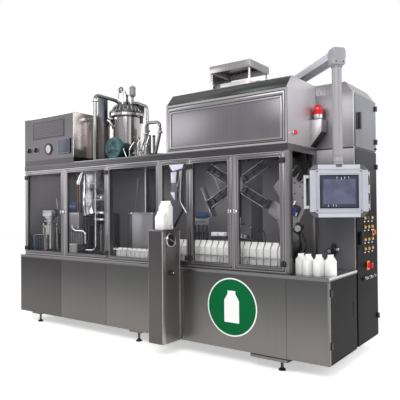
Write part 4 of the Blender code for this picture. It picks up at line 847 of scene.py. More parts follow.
def make_beacon():
    x, y = 1.75904, 0.0795
    gasket = turned((x, y, 0), [(0.052, 2.3953), (0.0525, 2.397), (0.0525, 2.404), (0.05, 2.406)], BLACK,
        "z", 32)
    base = turned((x, y, 0), [(0.046, 2.406), (0.047, 2.408), (0.047, 2.438), (0.05, 2.44), (0.05, 2.448),
        (0.046, 2.45)], BRIGHT, "z", 32)
    rings = [(0.046, 2.45)]
    level = 2.452
    while level < 2.5:
        rings += [(0.0475, level), (0.0475, level + 0.004), (0.0455, level + 0.006)]
        level += 0.008
    for i in range(7):
        angle = math.radians(10 + 13 * i)
        rings.append((0.0465 * math.cos(angle), 2.506 + 0.0493 * math.sin(angle)))
    lens = turned((x, y, 0), rings, "beacon_lens", "z", 32)
    fixed("beacon", "red_plastic", gasket, base, lens, replaces=("warning_beacon",))


def push_head(x, y, z, radius, collar, cap, finish):
    """A push button's head on its sleeve, pointing along +X."""
    sleeve = turned((x, y, z), [(radius * 0.5, -0.006), (radius * 0.5, 0.0052), (radius, 0.0056),
        (radius, 0.0056 + collar)], BRIGHT, "x", 28)
    head = turned((x, y, z), [(radius * 0.8, 0.0056 + collar), (radius * 0.95, 0.007 + collar),
        (radius * 0.95, cap - 0.006), (radius * 0.8, cap - 0.002), (radius * 0.45, cap)], finish, "x", 28)
    return [sleeve, head]


def make_hood_button():
    fit("hood_button_head", "side_button", "red_plastic",
        *push_head(1.69854, -0.3755, 2.224, 0.024, 0.014, 0.039, "red_plastic"), replaces=("hood_button",))


def pick_faces(thing, chosen):
    """Enters edit mode with only the chosen faces selected."""
    take_only(thing)
    edit_mesh()
    bpy.ops.mesh.select_mode(type="FACE")
    bpy.ops.mesh.select_all(action="DESELECT")
    leave_mesh()
    for index in chosen:
        thing.data.polygons[index].select = True
    edit_mesh()


def tray(low, high, wall, depth, finish, open_face="-z", bevel=0.002):
    """A box with one open face, pushed in from that face."""
    box = plate(low, high, finish, 0)
    ways = {"-z": (0, 0, -1), "z": (0, 0, 1), "-y": (0, -1, 0), "x": (1, 0, 0), "y": (0, 1, 0)}
    way = Vector(ways[open_face])
    pick_faces(box, [face.index for face in box.data.polygons if face.normal.dot(way) > 0.9])
    bpy.ops.mesh.inset(thickness=wall, depth=0)
    bpy.ops.mesh.extrude_region_move(TRANSFORM_OT_translate={"value": tuple(way * -depth)})
    leave_mesh()
    if bevel:
        rounded(box, bevel)
    return coat(box, finish)


def make_vent():
    lid = tray((0.5195, -0.0555, 3.04), (1.0495, 0.3745, 3.12), 0.012, 0.066, "hood_sheet")
    posts = []
    for x in (0.5325, 1.0185):
        for y in (-0.0425, 0.3435):
            posts.append(plate((x, y, ON_HOOD), (x + 0.018, y + 0.018, 3.05), BRIGHT, 0.002))
    duct = tray((0.5945, 0.0195, ON_HOOD), (0.9745, 0.2995, 2.925), 0.01, 0.15, "end_sheet", "z")
    skirt = plate((0.575, 0.0, 2.7653), (0.994, 0.319, 2.776), "hood_sheet", 0.003)
    side = plate((0.523, -0.0405, 2.767), (0.528, 0.3595, 3.045), "hood_sheet", 0.001)
    hatch = [plate((1.15, -0.3, 2.7653), (1.36, -0.12, 2.785), DARK, 0.006),
        turned((1.255, -0.21, 0), [(0.07, 2.785), (0.075, 2.79), (0.06, 2.805), (0.02, 2.812)], DARK, "z",
        24)]
    fixed("roof_vent", "hood_steel", lid, duct, skirt, side, *posts, replaces=("roof_vent_cap",))
    fixed("roof_hatch", "hood_steel", *hatch)


# The control box on the roof

def dial(centre, radius):
    """A round gauge with its rim, marks and pointer, facing the front."""
    rim = turned(centre, [(radius * 1.14, 0.0004), (radius * 1.14, 0.008), (radius * 1.06, 0.014),
        (radius * 0.88, 0.014), (radius * 0.8, 0.005)], BLACK, "-y", 36)
    card = turned(centre, [(radius * 0.8, 0.004), (radius * 0.8, 0.0065)], "dial_face", "-y", 36)
    cx, cy, cz = centre
    front = cy - 0.0065
    marks = []
    for i in range(11):
        angle = math.radians(225 - 27 * i)
        mark = plate((cx + radius * 0.6, front - 0.0012, cz - radius * 0.02),
            (cx + radius * 0.76, front, cz + radius * 0.02), BLACK, 0)
        marks.append(swung(mark, (cx, 0, cz), "Y", -angle))
    needle = plate((cx - radius * 0.12, front - 0.003, cz - radius * 0.025),
        (cx + radius * 0.62, front - 0.0015, cz + radius * 0.025), "red_plastic", 0.0005)
    swung(needle, (cx, 0, cz), "Y", -math.radians(250))
    boss = turned((cx, front, cz), [(radius * 0.07, 0), (radius * 0.07, 0.005)], BLACK, "-y", 16)
    return [rim, card, needle, boss, *marks]


def make_control_box():
    face = GUARD_FACE - CLEAR
    rim = window_ring(-2.152, -1.492, 2.472, 2.702, (-2.142, -1.502, 2.482, 2.692), face - 0.004, face,
        (0.003, 0.002))
    coat(rim, "box_sheet")
    mesh = plate((-2.1425, face - 0.0015, 2.4815), (-1.5015, face, 2.6925), "perforated_sheet", 0)
    fixed("box_grille", "hood_steel", rim, mesh)
    fixed("box_gauge", "black_plastic", *dial((-1.815, face, 2.325), 0.068))
    bezel = tray((-1.605, face - 0.016, 2.243), (-1.366, face, 2.437), 0.016, 0.004, "blue_grey", "-y",
        0.003)
    screen = plate((-1.588, face - 0.0145, 2.26), (-1.383, face - 0.0118, 2.42), "screen_glass", 0.001)
    fixed("box_display", "black_plastic", bezel, screen)
    # A near-black sheet across the recessed plinth and its ends: painted shade of the undercut below the box.
    skirt = [plate((-2.334, face, 2.1165), (-1.3055, face + 0.0015, 2.188), "plinth_sheet", 0),
        plate((-2.334, face, 2.1165), (-2.3325, 0.8, 2.188), "plinth_sheet", 0),
        plate((-1.307, face, 2.1165), (-1.3055, 0.8, 2.188), "plinth_sheet", 0)]
    fixed("box_plinth_shade_sheet", "hood_steel", *skirt)
    # A dark line where the box meets its plinth, and bright strips on the top and right edges as painted
    # highlights.
    seam_and_edge_highlights = [plate((-2.3325, face - 0.0012, 2.186), (-1.3065, face, 2.19), DARK, 0),
        plate((-2.3335, face - 0.002, 2.757), (-1.3055, face, 2.7645), BRIGHT, 0.0008),
        plate((-1.3105, face - 0.002, 2.19), (-1.3045, face, 2.757), BRIGHT, 0.0008)]
    fixed("box_edges", "hood_steel", *seam_and_edge_highlights)
    # The box's side wall, its colour a painted reflection.
    fixed("box_side_sheet", "hood_steel", plate((-1.3041, GUARD_FACE + 0.002, 2.19),
        (-1.3028, 0.8025, 2.762), "box_side_sheet", 0))
    fixed("box_lifting_handle", "black_plastic",
        pipe([(-1.33, -0.05, 2.766), (-1.33, -0.05, 2.8), (-1.33, 0.12, 2.8), (-1.33, 0.12, 2.766)], 0.009,
        DARK, 0.02))
    for number, x in ((1, -2.23046), (2, -2.08046)):
        centre = (x, GUARD_FACE - HAIR, 2.33)
        skirt = turned(centre, [(0.038, 0.002), (0.038, 0.006), (0.034, 0.01), (0.032, 0.02),
            (0.028, 0.022)], BLACK, "-y", 28)
        grip = plate((x - 0.008, GUARD_FACE - 0.0355, 2.3), (x + 0.008, GUARD_FACE - 0.018, 2.36), BLACK,
            0.003, 3)
        line = plate((x - 0.002, GUARD_FACE - 0.0362, 2.334), (x + 0.002, GUARD_FACE - 0.035, 2.357), WHITE,
            0)
        collar = turned(centre, [(0.047, 0), (0.047, 0.001), (0.044, 0.002)], CAST, "-y", 28)
        fit(f"box_knob_{number}", f"knob_{number}", "black_plastic", skirt, grip, line,
            replaces=(f"control_knob_{number}",))
        fixed(f"box_knob_collar_{number}", "polished_steel", collar)


# The tank, its pipes and the blower

TANK = (-0.98046, 0.1445)
FEED = (-1.05046, -0.3555)


def stud_row(place, step, count, rings, finishes, steps=16):
    """Turned fittings in a row along X, which take the finishes in turn."""
    x, y, z = place
    return [turned((x + step * i, y, z), rings, finishes[i % len(finishes)], "z", steps)
        for i in range(count)]


def clamp_ferrule(x, y, z, radius):
    """A pipe joint: two lips held by a clamp ring."""
    lips = ((1, -0.014), (1.5, -0.01), (1.75, -0.008), (1.75, 0.008), (1.5, 0.01), (1, 0.014))
    return turned((x, y, z), [(radius * share, level) for share, level in lips], "polished_steel", "z", 20)


def make_tank_fittings():
    x, y = TANK
    fixed("tank_lid_dome", "polished_steel", turned((x, y, 0),
        [(0.234, 2.7755), (0.235, 2.778), (0.235, 2.8), (0.232, 2.802), (0.196, 2.804), (0.194, 2.812),
        (0.19, 2.845), (0.17, 2.875), (0.135, 2.9), (0.09, 2.918), (0.05, 2.926), (0.048, 2.945),
        (0.04, 2.948)], "dome_steel", "z", 56, 50), replaces=("tank_lid",))
    clamp = plate((x + 0.186, y - 0.013, 2.798), (x + 0.208, y + 0.013, 2.88), CAST, 0.006, 3)
    swung(clamp, (x + 0.208, y, 2.8), "Y", -0.42)
    glint = plate((x + 0.207, y - 0.004, 2.806), (x + 0.2095, y + 0.004, 2.872), BRIGHT, 0.001)
    swung(glint, (x + 0.208, y, 2.8), "Y", -0.42)
    screw = turned((x + 0.222, y, 2.802), [(0.008, 0), (0.008, 0.012), (0.005, 0.014), (0.005, 0.02)], DARK,
        "z", 8)
    fixed("tank_lid_clamps", "polished_steel", *ring_of(joined(clamp, glint, screw), 22, (x, y, 0), "Z",
        0.12))
    # Two dark rings: the one under the lid's flange is a painted shadow line, the one at the tank's foot a
    # plain dark band.
    bands_and_flange_shadow = []
    for level in (2.135, 2.725):
        bands_and_flange_shadow.append(turned((x, y, 0), [(0.1852, level), (0.188, level + 0.002), (0.188, level + 0.012),
            (0.1852, level + 0.014)], DARK, "z", 48))
    rib = pipe([(x + 0.196, y, 2.83), (x + 0.178, y, 2.872), (x + 0.12, y, 2.912)], 0.006, CAST, 0.02)
    ribs = ring_of(rib, 12, (x, y, 0), "Z")
    fixed("tank_band_and_flange_shadow", "polished_steel", *bands_and_flange_shadow)
    fixed("tank_lid_ribs", "polished_steel", *ribs)
    gx, gy = x - 0.032, y - 0.045
    stalk = [rod(gx, gy, 2.9, 3.085, 0.012, BRIGHT),
        pipe([(gx - 0.02, gy, 2.93), (gx - 0.075, gy, 2.99), (gx - 0.075, gy, 3.07),
        (gx - 0.045, gy, 3.11)], 0.0045, CAST, 0.03)]
    face = dial((gx - 0.038, gy + 0.012, 3.118), 0.036)
    fixed("tank_gauge", "polished_steel", *stalk, *face)
    lid_valve = [turned((x + 0.055, y - 0.05, 2.93),
        [(0.014, 0), (0.02, 0.004), (0.02, 0.03), (0.014, 0.034), (0.014, 0.08), (0.02, 0.084), (0.02, 0.1),
        (0.01, 0.104)], DARK, "z", 18), pipe([(x + 0.055, y - 0.05, 3.02), (x + 0.015, y - 0.05, 3.085)],
        0.006, DARK), turned((x - 0.085, y - 0.06, 2.94),
        [(0.03, 0), (0.034, 0.004), (0.034, 0.016), (0.026, 0.02), (0.012, 0.022), (0.012, 0.05)], BRIGHT,
        "z", 24), plate((x - 0.16, y - 0.066, 2.955), (x - 0.085, y - 0.054, 2.963), DARK, 0.002)]
    fixed("tank_lid_valves", "polished_steel", *lid_valve)
    filter_x = x + 0.107
    fixed("tank_air_filter", "polished_steel", turned((filter_x, y, 0),
        [(0.016, 2.9), (0.016, 3.0), (0.024, 3.006), (0.041, 3.026), (0.043, 3.032), (0.043, 3.04),
        (0.04, 3.042), (0.04, 3.118), (0.043, 3.12), (0.043, 3.132), (0.034, 3.141), (0.012, 3.144),
        (0.01, 3.158)], CAST, "z", 28))


def make_pipework():
    x, y = TANK
    right = pipe([(x + 0.1, y, 2.9), (x + 0.16, y, 2.925), (x + 0.365, y, 2.845), (x + 0.378, y, ON_ROOF)],
        0.019, "pipe_steel", 0.05)
    joints = [clamp_ferrule(x + 0.378, y, level, 0.019) for level in (2.23, 2.52)]
    fixed("tank_overflow_pipe", "polished_steel", right, *joints)
    loop = pipe([(-0.502, 0.0, ON_ROOF), (-0.502, 0.0, 2.6), (-0.275, 0.0, 2.59), (-0.268, 0.0, 2.47),
        (-0.375, 0.0, ON_ROOF)], 0.02, "pipe_steel", 0.065)
    ferrules = [clamp_ferrule(-0.502, 0.0, level, 0.02) for level in (2.2, 2.33, 2.46)]
    ferrules.append(clamp_ferrule(-0.2715, 0.0, 2.46, 0.02))
    fixed("return_pipe_loop", "polished_steel", loop, *ferrules)
    valves = []
    for vx, vy, vz in ((-0.67, -0.02, 2.22), (-0.6, -0.03, 2.3), (-0.53, 0.0, 2.2), (-0.67, 0.04, 2.38)):
        valves.append(turned((vx, vy, vz), [(0.016, -0.05), (0.026, -0.045), (0.026, -0.03), (0.02, -0.028),
            (0.02, 0.028), (0.026, 0.03), (0.026, 0.045), (0.016, 0.05)], "polished_steel", "z", 18))
        lever = plate((vx - 0.006, vy - 0.1, vz + 0.05), (vx + 0.006, vy + 0.01, vz + 0.056), BRIGHT, 0.002)
        valves.append(lever)
        valves.append(turned((vx, vy, vz + 0.05), [(0.012, 0), (0.012, 0.012), (0.006, 0.014)], DARK, "z",
            12))
    valves.append(pipe([(-0.76, -0.06, 2.16), (-0.66, -0.02, 2.16), (-0.53, 0.0, 2.16)], 0.014, BRIGHT,
        0.04))
    valves.append(rod(-0.53, 0.0, 2.14, 2.45, 0.012, "polished_steel"))
    valves.append(rod(-0.408, 0.04, ON_ROOF, 2.425, 0.017, "pipe_steel"))
    valves.append(turned((-0.408, 0.04, 2.42), [(0.019, 0), (0.019, 0.016), (0.014, 0.02)], BLACK, "z", 18))
    valves.append(rod(-0.44, 0.0, ON_ROOF, 2.44, 0.014, DARK))
    valves.append(plate((-0.72, -0.09, ON_ROOF), (-0.47, 0.09, 2.122), "table_sheet", 0.002))
    for i in range(5):
        px, py = -0.7 + 0.052 * i, -0.1 + 0.02 * i
        valves.append(pipe([(px, py, 2.1225), (px, py, 2.28 + 0.03 * (i % 3)),
            (px + 0.03, py + 0.05, 2.36 + 0.03 * i)], 0.007, DARK if i % 2 else BRIGHT, 0.03))
        valves.append(clamp_ferrule(px, py, 2.2 + 0.02 * (i % 2), 0.009))
    fixed("valve_group", "polished_steel", *valves)
    tie = [pipe([(-0.36, -0.1, 2.19), (0.13, -0.1, 2.145)], 0.012, BLACK),
        rod(-0.36, -0.1, ON_ROOF, 2.19, 0.01, DARK), plate((0.125, -0.13, ON_ROOF), (0.165, -0.07, 2.28),
        DARK, 0.004)]
    fixed("roof_tie", "black_plastic", *tie)
    # Its brownish lower part is a painted reflection from its finish.
    fixed("exhaust_duct", "base_steel", tray((-1.285, -0.09, ON_ROOF), (-1.172, -0.02, 3.02), 0.008, 0.1,
        "duct_sheet", "z"))
    filter_pot = turned((-1.195, 0.075, ON_ROOF),
        [(0.086, 0), (0.092, 0.004), (0.092, 0.5), (0.084, 0.55), (0.06, 0.59), (0.018, 0.605),
        (0.018, 0.62)], "pot_steel", "z", 40, 50)
    outlet = pipe([(-1.13, -0.07, 2.7), (-1.09, -0.05, 2.665), (-1.085, -0.02, 2.62), (-1.085, 0.05, 2.55)],
        0.013, BRIGHT, 0.02)
    fixed("roof_filter_pot", "polished_steel", filter_pot, outlet)
    unit = [plate((-0.935, 0.18, 2.8), (-0.8, 0.3, 2.925), BLACK, 0.008),
        plate((-0.925, 0.19, 2.925), (-0.87, 0.29, 2.955), "corner_plastic", 0.004),
        plate((-0.845, 0.2, 2.66), (-0.81, 0.28, 2.81), DARK, 0.003)]
    fixed("stirrer_motor", "black_plastic", *unit)
    fixed("product_feed_pipe", "polished_steel",
        pipe([(*FEED, ROOF + 0.001), (*FEED, 2.972), (x - 0.07, y - 0.1, 2.958), (x - 0.05, y - 0.06, 2.9)],
        0.0235, "pipe_steel", 0.075), replaces=("product_pipe",))
    base = turned((*FEED, ROOF), [(0.045, 0.0003), (0.045, 0.006), (0.03, 0.012), (0.0245, 0.012)], BRIGHT,
        "z", 28)
    collar = clamp_ferrule(*FEED, 2.895, 0.0236)
    fixed("product_pipe_collar", "polished_steel", base, collar)


def make_blower():
    x, z = -0.83346, 2.282
    front = -0.2655
    cowl = turned((x, front, z), [(0.11, 0.022), (0.112, 0.004), (0.118, 0), (0.134, 0.002), (0.142, 0.012),
        (0.142, 0.06), (0.136, 0.068)], "teal_rim", "y", 48)
    dish = turned((x, front, z), [(0.111, 0.012), (0.111, 0.008), (0.06, 0.01), (0.034, 0.006), (0.026, 0),
        (0.012, -0.002)], "teal_light", "y", 40)
    rib = plate((x + 0.02, front - 0.0005, z - 0.008), (x + 0.1, front + 0.014, z + 0.008), "motor_paint",
        0.002)
    ribs = ring_of(rib, 3, (x, 0, z), "Y", 0.5)
    fine = plate((x + 0.045, front + 0.002, z - 0.0025), (x + 0.108, front + 0.012, z + 0.0025),
        "teal_paint", 0)
    ribs += ring_of(fine, 18, (x, 0, z), "Y", 0.15)
    hub = turned((x, front - 0.001, z), [(0.014, 0), (0.02, 0.004), (0.02, 0.02)], BLACK, "y", 24)
    rings = [(0.055, 0.06), (0.09, 0.064)]
    level = 0.068
    while level < 0.272:
        rings += [(0.09, level), (0.09, level + 0.005), (0.083, level + 0.006), (0.083, level + 0.011)]
        level += 0.012
    rings += [(0.086, 0.28), (0.06, 0.285)]
    motor = turned((x, front, z), rings, "motor_paint", "y", 32)
    stand = plate((x - 0.085, front + 0.012, ON_ROOF), (x + 0.085, front + 0.06, 2.2), "teal_paint", 0.006)
    foot = plate((x - 0.085, front + 0.012, ON_ROOF), (x + 0.125, front + 0.27, 2.16), "teal_paint", 0.006)
    stay = pipe([(x + 0.125, front + 0.05, 2.3), (x + 0.195, front + 0.05, 2.1555)], 0.006, BRIGHT)
    fixed("blower_unit", "teal_paint", cowl, dish, *ribs, hub, motor, stand, foot, stay,
        replaces=("blower",))


# The operator panel, drawn square to its own face and then turned

PANEL_PLACE = (2.10354, -0.3055)
PANEL_TURN = math.radians(36.2)


def faced(thing):
    """Turns a piece drawn about the panel's own middle, facing -Y, into its place."""
    thing.data.transform(Matrix.Translation((*PANEL_PLACE, 0)) @ Matrix.Rotation(PANEL_TURN, 4, "Z"))
    return thing


def make_operator_panel():
    low, high = 1.425, 1.9
    half, cut, front = 0.2625, 0.042, -0.0425
    edge = [(-half + cut, low), (half - cut, low), (half, low + cut), (half, high - cut),
        (half - cut, high), (-half + cut, high), (-half, high - cut), (-half, low + cut)]
    body = outline_sheet(edge, 0.066, "corner_plastic", "xz", 0.0075, 0.004)
    bars = [plate((-0.19, front + 0.001, 1.858), (0.19, 0.036, high - 0.0005), "lavender_bar", 0.006, 3),
        plate((-0.19, front + 0.001, low + 0.0005), (0.19, 0.036, 1.462), "lavender_bar", 0.006, 3),
        plate((0.2065, front + 0.001, 1.475), (half - 0.0005, 0.036, 1.85), "lavender_frame", 0.006, 3),
        plate((-half + 0.0005, front + 0.001, 1.475), (-0.2065, 0.036, 1.85), "lavender_frame", 0.006, 3)]
    mask = window_ring(-0.206, 0.206, 1.4625, 1.8575, (-0.176, 0.176, 1.505, 1.8075), front + 0.002,
        front + 0.016, (0.008, 0))
    coat(mask, "lavender_frame")
    border = plate((-0.1755, front + 0.004, 1.5055), (0.1755, front + 0.015, 1.807), "screen_border", 0.001)
    screen = plate((-0.1613, front + 0.0032, 1.521), (0.1613, front + 0.0042, 1.791), "screen_glass", 0)
    glow = plate((-0.145, front + 0.0026, 1.545), (0.145, front + 0.0033, 1.768), "screen_glow", 0)
    strokes = []
    for x, z in ((-0.02, 1.782), (0.02, 1.775), (0.05, 1.78), (0.085, 1.782), (-0.1, 1.53), (-0.055, 1.533),
            (-0.03, 1.53)):
        strokes.append(plate((x - 0.0015, front + 0.0022, z - 0.01), (x + 0.0015, front + 0.0027, z + 0.01),
            WHITE, 0))
    screws = []
    for x in (-0.1965, 0.1965):
        for z in (1.485, 1.84):
            screws.append(turned((x, front + 0.003, z), [(0.006, 0), (0.006, 0.003), (0.004, 0.004),
                (0.002, 0.002)], DARK, "-y", 12))
    handle = [plate((-0.3115, -0.014, 1.503), (-0.292, 0.012, 1.808), "lavender_bar", 0.004, 3),
        plate((-0.2935, -0.01, 1.78), (-0.2615, 0.01, 1.806), "lavender_bar", 0.003),
        plate((-0.2935, -0.01, 1.505), (-0.2615, 0.01, 1.531), "lavender_bar", 0.003)]
    blocks = []
    for low_z, high_z, finish in ((1.505, 1.545, "lavender_frame"), (1.575, 1.64, BLACK),
            (1.64, 1.715, "dial_face"), (1.715, 1.79, BLACK), (1.8, 1.83, "lavender_frame")):
        blocks.append(plate((0.2626, -0.03, low_z), (0.2775, 0.016, high_z), finish, 0.003))
    blocks.append(plate((0.2775, -0.016, 1.49), (0.2845, 0.02, 1.835), "lavender_bar", 0.003))
    back = plate((-0.15, 0.034, 1.5), (0.15, 0.0423, 1.82), "corner_plastic", 0.004)
    hub = turned((0, 0, 1.8995), [(0.05, -0.02), (0.05, 0), (0.035, 0.0003)], "corner_plastic", "z", 28)
    parts = [body, *bars, mask, border, screen, glow, *strokes, *screws, *handle, *blocks, back, hub]
    fit("operator_panel_unit", "panel", "black_plastic", *[faced(part) for part in parts],
        replaces=("operator_panel",))


ARM_PIVOT = (1.42954, 0.3095)
BEAM_BOTTOM = 2.86
BEAM_TOP = 2.928
BEAM_HALF = 0.06
SLEEVE_TOP = 1.9855
SLEEVE_RADIUS = 0.049


def make_arm():
    """The arm's own solid with a slimmer sleeve on its tube, an end box with bolts and a light side strip."""
    x, y = PANEL_PLACE
    arm = added("arm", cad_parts["pendant_arm"].data.copy())
    modifier(arm, "WELD", merge_threshold=0.00001)
    for spot in arm.data.vertices:
        away = Vector((spot.co.x - x, spot.co.y - y))
        if spot.co.z < SLEEVE_TOP and away.length > SLEEVE_RADIUS:
            spot.co.x = x + away.x * SLEEVE_RADIUS / away.length
            spot.co.y = y + away.y * SLEEVE_RADIUS / away.length
    shaded(arm)
    coat(arm, "arm_paint")
    collar = turned((x, y, 0), [(0.036, 1.901), (0.051, 1.903), (0.051, 1.914), (0.04, 1.92)], "arm_paint",
        "z", 32)
    tube = turned((x, y, 0), [(0.04, 1.981), (0.044, 1.984), (0.044, 2.79)], "arm_paint", "z", 32)
    ring = turned((x, y, 0), [(0.044, 2.782), (0.05, 2.784), (0.05, 2.798)], CAST, "z", 32)
    run = math.hypot(x - ARM_PIVOT[0], y - ARM_PIVOT[1])
    box = plate((run - 0.052, -0.0625, 2.797), (run + 0.0625, 0.0625, 2.958), "arm_paint", 0.022, 4)
    strip = plate((-0.05, -BEAM_HALF - 0.0018, BEAM_BOTTOM + 0.002),
        (run - 0.053, -BEAM_HALF - HAIR, BEAM_TOP - 0.002), "lavender_bar", 0.0005)
    bolts = [turned((run + 0.0625, across, 2.825), [(0.006, 0), (0.006, 0.003), (0.003, 0.004)], DARK, "x",
        12) for across in (-0.034, 0.034)]
    for part in (box, strip, *bolts):
        heading = math.atan2(y - ARM_PIVOT[1], x - ARM_PIVOT[0])
        part.data.transform(Matrix.Translation((*ARM_PIVOT, 0)) @ Matrix.Rotation(heading, 4, "Z"))
    fit("swinging_arm", "arm", "arm_aluminium", arm, collar, tube, ring, box, strip, *bolts,
        replaces=("pendant_arm",))


# The electrical cabinet's fittings

CABINET_FRONT = 0.1575
CABINET_LEFT = 1.6985
CABINET_RIGHT = 2.0892
UPPER_DOOR = (0.1815, 0.8155, 2.113, 2.647)
LOWER_DOOR = (0.1815, 0.8155, 0.148, 2.097)


def end_frame(inner_y, outer_y, inner_z, outer_z, low_x, high_x, finish):
    """A ring in the plane of the machine's end, made of four strips."""
    (ya, yb), (oa, ob), (za, zb), (la, lb) = inner_y, outer_y, inner_z, outer_z
    return [plate((low_x, oa, la), (high_x, ya, lb), finish, 0.001),
        plate((low_x, yb, la), (high_x, ob, lb), finish, 0.001),
        plate((low_x, ya, la), (high_x, yb, za), finish, 0.001),
        plate((low_x, ya, zb), (high_x, yb, lb), finish, 0.001)]


def make_cabinet_sheets():
    face = CABINET_FRONT - CLEAR
    upper = plate((CABINET_LEFT + 0.0015, face - 0.0016, 2.112), (CABINET_RIGHT + 0.002, face, 2.66),
        "cabinet_front", 0.0006)
    lower = plate((CABINET_LEFT + 0.008, face - 0.0016, 0.906), (CABINET_RIGHT + 0.002, face, 1.78),
        "cabinet_side", 0)
    head = plate((CABINET_LEFT + 0.008, face - 0.0016, 1.78), (CABINET_RIGHT + 0.002, face, 2.098),
        "cabinet_head", 0)
    seam = plate((CABINET_LEFT + 0.0015, face - 0.0008, 2.098), (CABINET_RIGHT + 0.001, face, 2.112), BLACK,
        0)
    fixed("cabinet_front_sheets", "hood_steel", upper, lower, head, seam)
    rims = []
    for (ya, yb, za, zb) in (UPPER_DOOR, LOWER_DOOR):
        rims += end_frame((ya - 0.002, yb + 0.002), (ya - 0.01, yb + 0.01), (za - 0.002, zb + 0.002),
            (za - 0.006, zb + 0.006), CABINET_RIGHT + HAIR, CABINET_RIGHT + 0.004, "hood_upright")
    rims.append(plate((CABINET_RIGHT + HAIR, 0.1578, 0.906), (CABINET_RIGHT + 0.0035, 0.1712, 2.66),
        "end_sheet", 0.001))
    fixed("cabinet_door_seals", "black_plastic", *rims)


DOOR_FACE = END_FACE
STOP_PLACE = (DOOR_FACE, 0.6845, 1.25)


def c_handle(body, y, low, high, name):
    """A black grip over the door's own block, with a foot at each end."""
    grip = plate((DOOR_FACE + CLEAR, y - 0.0125, low - 0.0005),
        (DOOR_FACE + 0.0345, y + 0.0125, high + 0.0005), BLACK, 0.005, 3)
    sleeves = [turned((0, 0, 0), [(0.01, 0), (0.012, 0.002), (0.012, 0.016), (0.009, 0.018)], BLACK, "x",
        18)]
    feet = [moved(sleeves[0], (DOOR_FACE + HAIR, y, level)) for level in (low + 0.012, high - 0.012)]
    bpy.data.objects.remove(sleeves[0])
    fit(name, body, "polished_steel", grip, *feet)


def end_hinge(y_low, z_low, x_low=2.0895, x_high=2.128, high=0.052):
    """A black hinge on the door's far edge, seen standing out from the end."""
    return [plate((x_low + 0.018, y_low, z_low), (x_high - 0.008, y_low + 0.04, z_low + high), BLACK,
        0.003), turned((x_high - 0.01, y_low + 0.03, z_low - 0.002),
        [(0.007, 0), (0.009, 0.002), (0.009, high + 0.002), (0.007, high + 0.004)], BLACK, "z", 14)]


def make_cabinet_hardware():
    c_handle("upper_door", 0.2445, 2.29, 2.46, "upper_door_handle")
    c_handle("lower_door", 0.2445, 1.14, 1.27, "lower_door_handle")
    for door, levels in (("upper", (2.55, 2.19)), ("lower", (1.92, 0.325))):
        for place, level in zip(("upper", "lower"), levels):
            fit(f"{door}_door_{place}_hinge", f"{door}_door", "black_plastic", *end_hinge(0.7735, level))
    for name, body, y, z in (("upper_door_lock", "upper_door", 0.7985, 2.14),
            ("lower_door_lock", "lower_door", 0.2105, 1.105)):
        fit(name, body, "black_plastic", turned((DOOR_FACE, y, z),
            [(0.013, 0.0003), (0.013, 0.004), (0.009, 0.005), (0.009, 0.012), (0.006, 0.014)], BLACK, "x",
            18))


def pilot_lamp(y, z, finish):
    """A lamp on the lower door: a bright collar, a lens with a ring and a blank plate below."""
    radius = 0.0155
    collar = turned((DOOR_FACE, y, z), [(radius * 1.25, 0.0003), (radius * 1.25, 0.003),
        (radius * 1.08, 0.005)], CAST, "x", 20)
    lens = turned((DOOR_FACE, y, z), [(radius, 0.004), (radius, 0.011), (radius * 0.8, 0.015),
        (radius * 0.4, 0.017)], finish, "x", 20)
    label = plate((DOOR_FACE + HAIR, y - 0.015, z - 0.042), (DOOR_FACE + 0.002, y + 0.015, z - 0.03), WHITE,
        0)
    return [collar, lens, label]


def make_lamps():
    parts = []
    for z in (1.404, 1.312, 1.185, 1.09):
        for y in (0.405, 0.52, 0.635):
            dark = z > 1.4 and y == 0.52
            parts += pilot_lamp(y, z, DARK if dark else "yellow_lamp")
    fit("pilot_lamps", "lower_door", "red_plastic", *parts)


def make_stop_and_isolator():
    fit("emergency_stop_plate", "lower_door", "red_plastic",
        turned(STOP_PLACE, [(0.036, 0.0003), (0.036, 0.002), (0.034, 0.003)], "yellow_lamp", "x", 28))
    sleeve = turned(STOP_PLACE, [(0.0115, -0.008), (0.0115, 0.0045), (0.016, 0.0047), (0.016, 0.01)], BLACK,
        "x", 24)
    head = turned(STOP_PLACE, [(0.016, 0.01), (0.023, 0.013), (0.024, 0.016), (0.024, 0.02),
        (0.022, 0.0235), (0.012, 0.025)], "red_plastic", "x", 28)
    fit("emergency_stop_head", "stop_button", "red_plastic", sleeve, head, replaces=("emergency_stop",))
    fit("isolator_plate", "lower_door", "red_plastic",
        plate((DOOR_FACE + HAIR, 0.4645, 0.87), (DOOR_FACE + 0.002, 0.5445, 0.96), "orange_plastic", 0.001))
    centre = (DOOR_FACE + 0.002, 0.5045, 0.915)
    disc = turned(centre, [(0.0318, 0.0004), (0.0318, 0.01), (0.029, 0.013), (0.02, 0.014)], "red_plastic",
        "x", 32)
    grip = plate((DOOR_FACE + 0.014, 0.4975, 0.887), (DOOR_FACE + 0.0478, 0.5115, 0.943), "red_plastic",
        0.004, 3)
    tip = plate((DOOR_FACE + 0.0475, 0.5025, 0.926), (DOOR_FACE + 0.0482, 0.5065, 0.941), WHITE, 0)
    fit("isolator_handle", "isolator", "red_plastic", disc, grip, tip, replaces=("isolator_switch",))


def make_connectors():
    rail = plate((DOOR_FACE + HAIR, 0.315, 0.77), (DOOR_FACE + 0.003, 0.705, 0.818), "base_end_sheet",
        0.001)
    parts = [rail]
    for i in range(8):
        y = 0.345 + 0.048 * i
        parts.append(turned((DOOR_FACE + 0.003, y, 0.794),
            [(0.015, 0.0002), (0.015, 0.006), (0.012, 0.008), (0.012, 0.018), (0.007, 0.018),
            (0.006, 0.01)], BRIGHT if i % 3 else BLACK, "x", 16))
    fit("connector_row", "lower_door", "black_plastic", *parts)


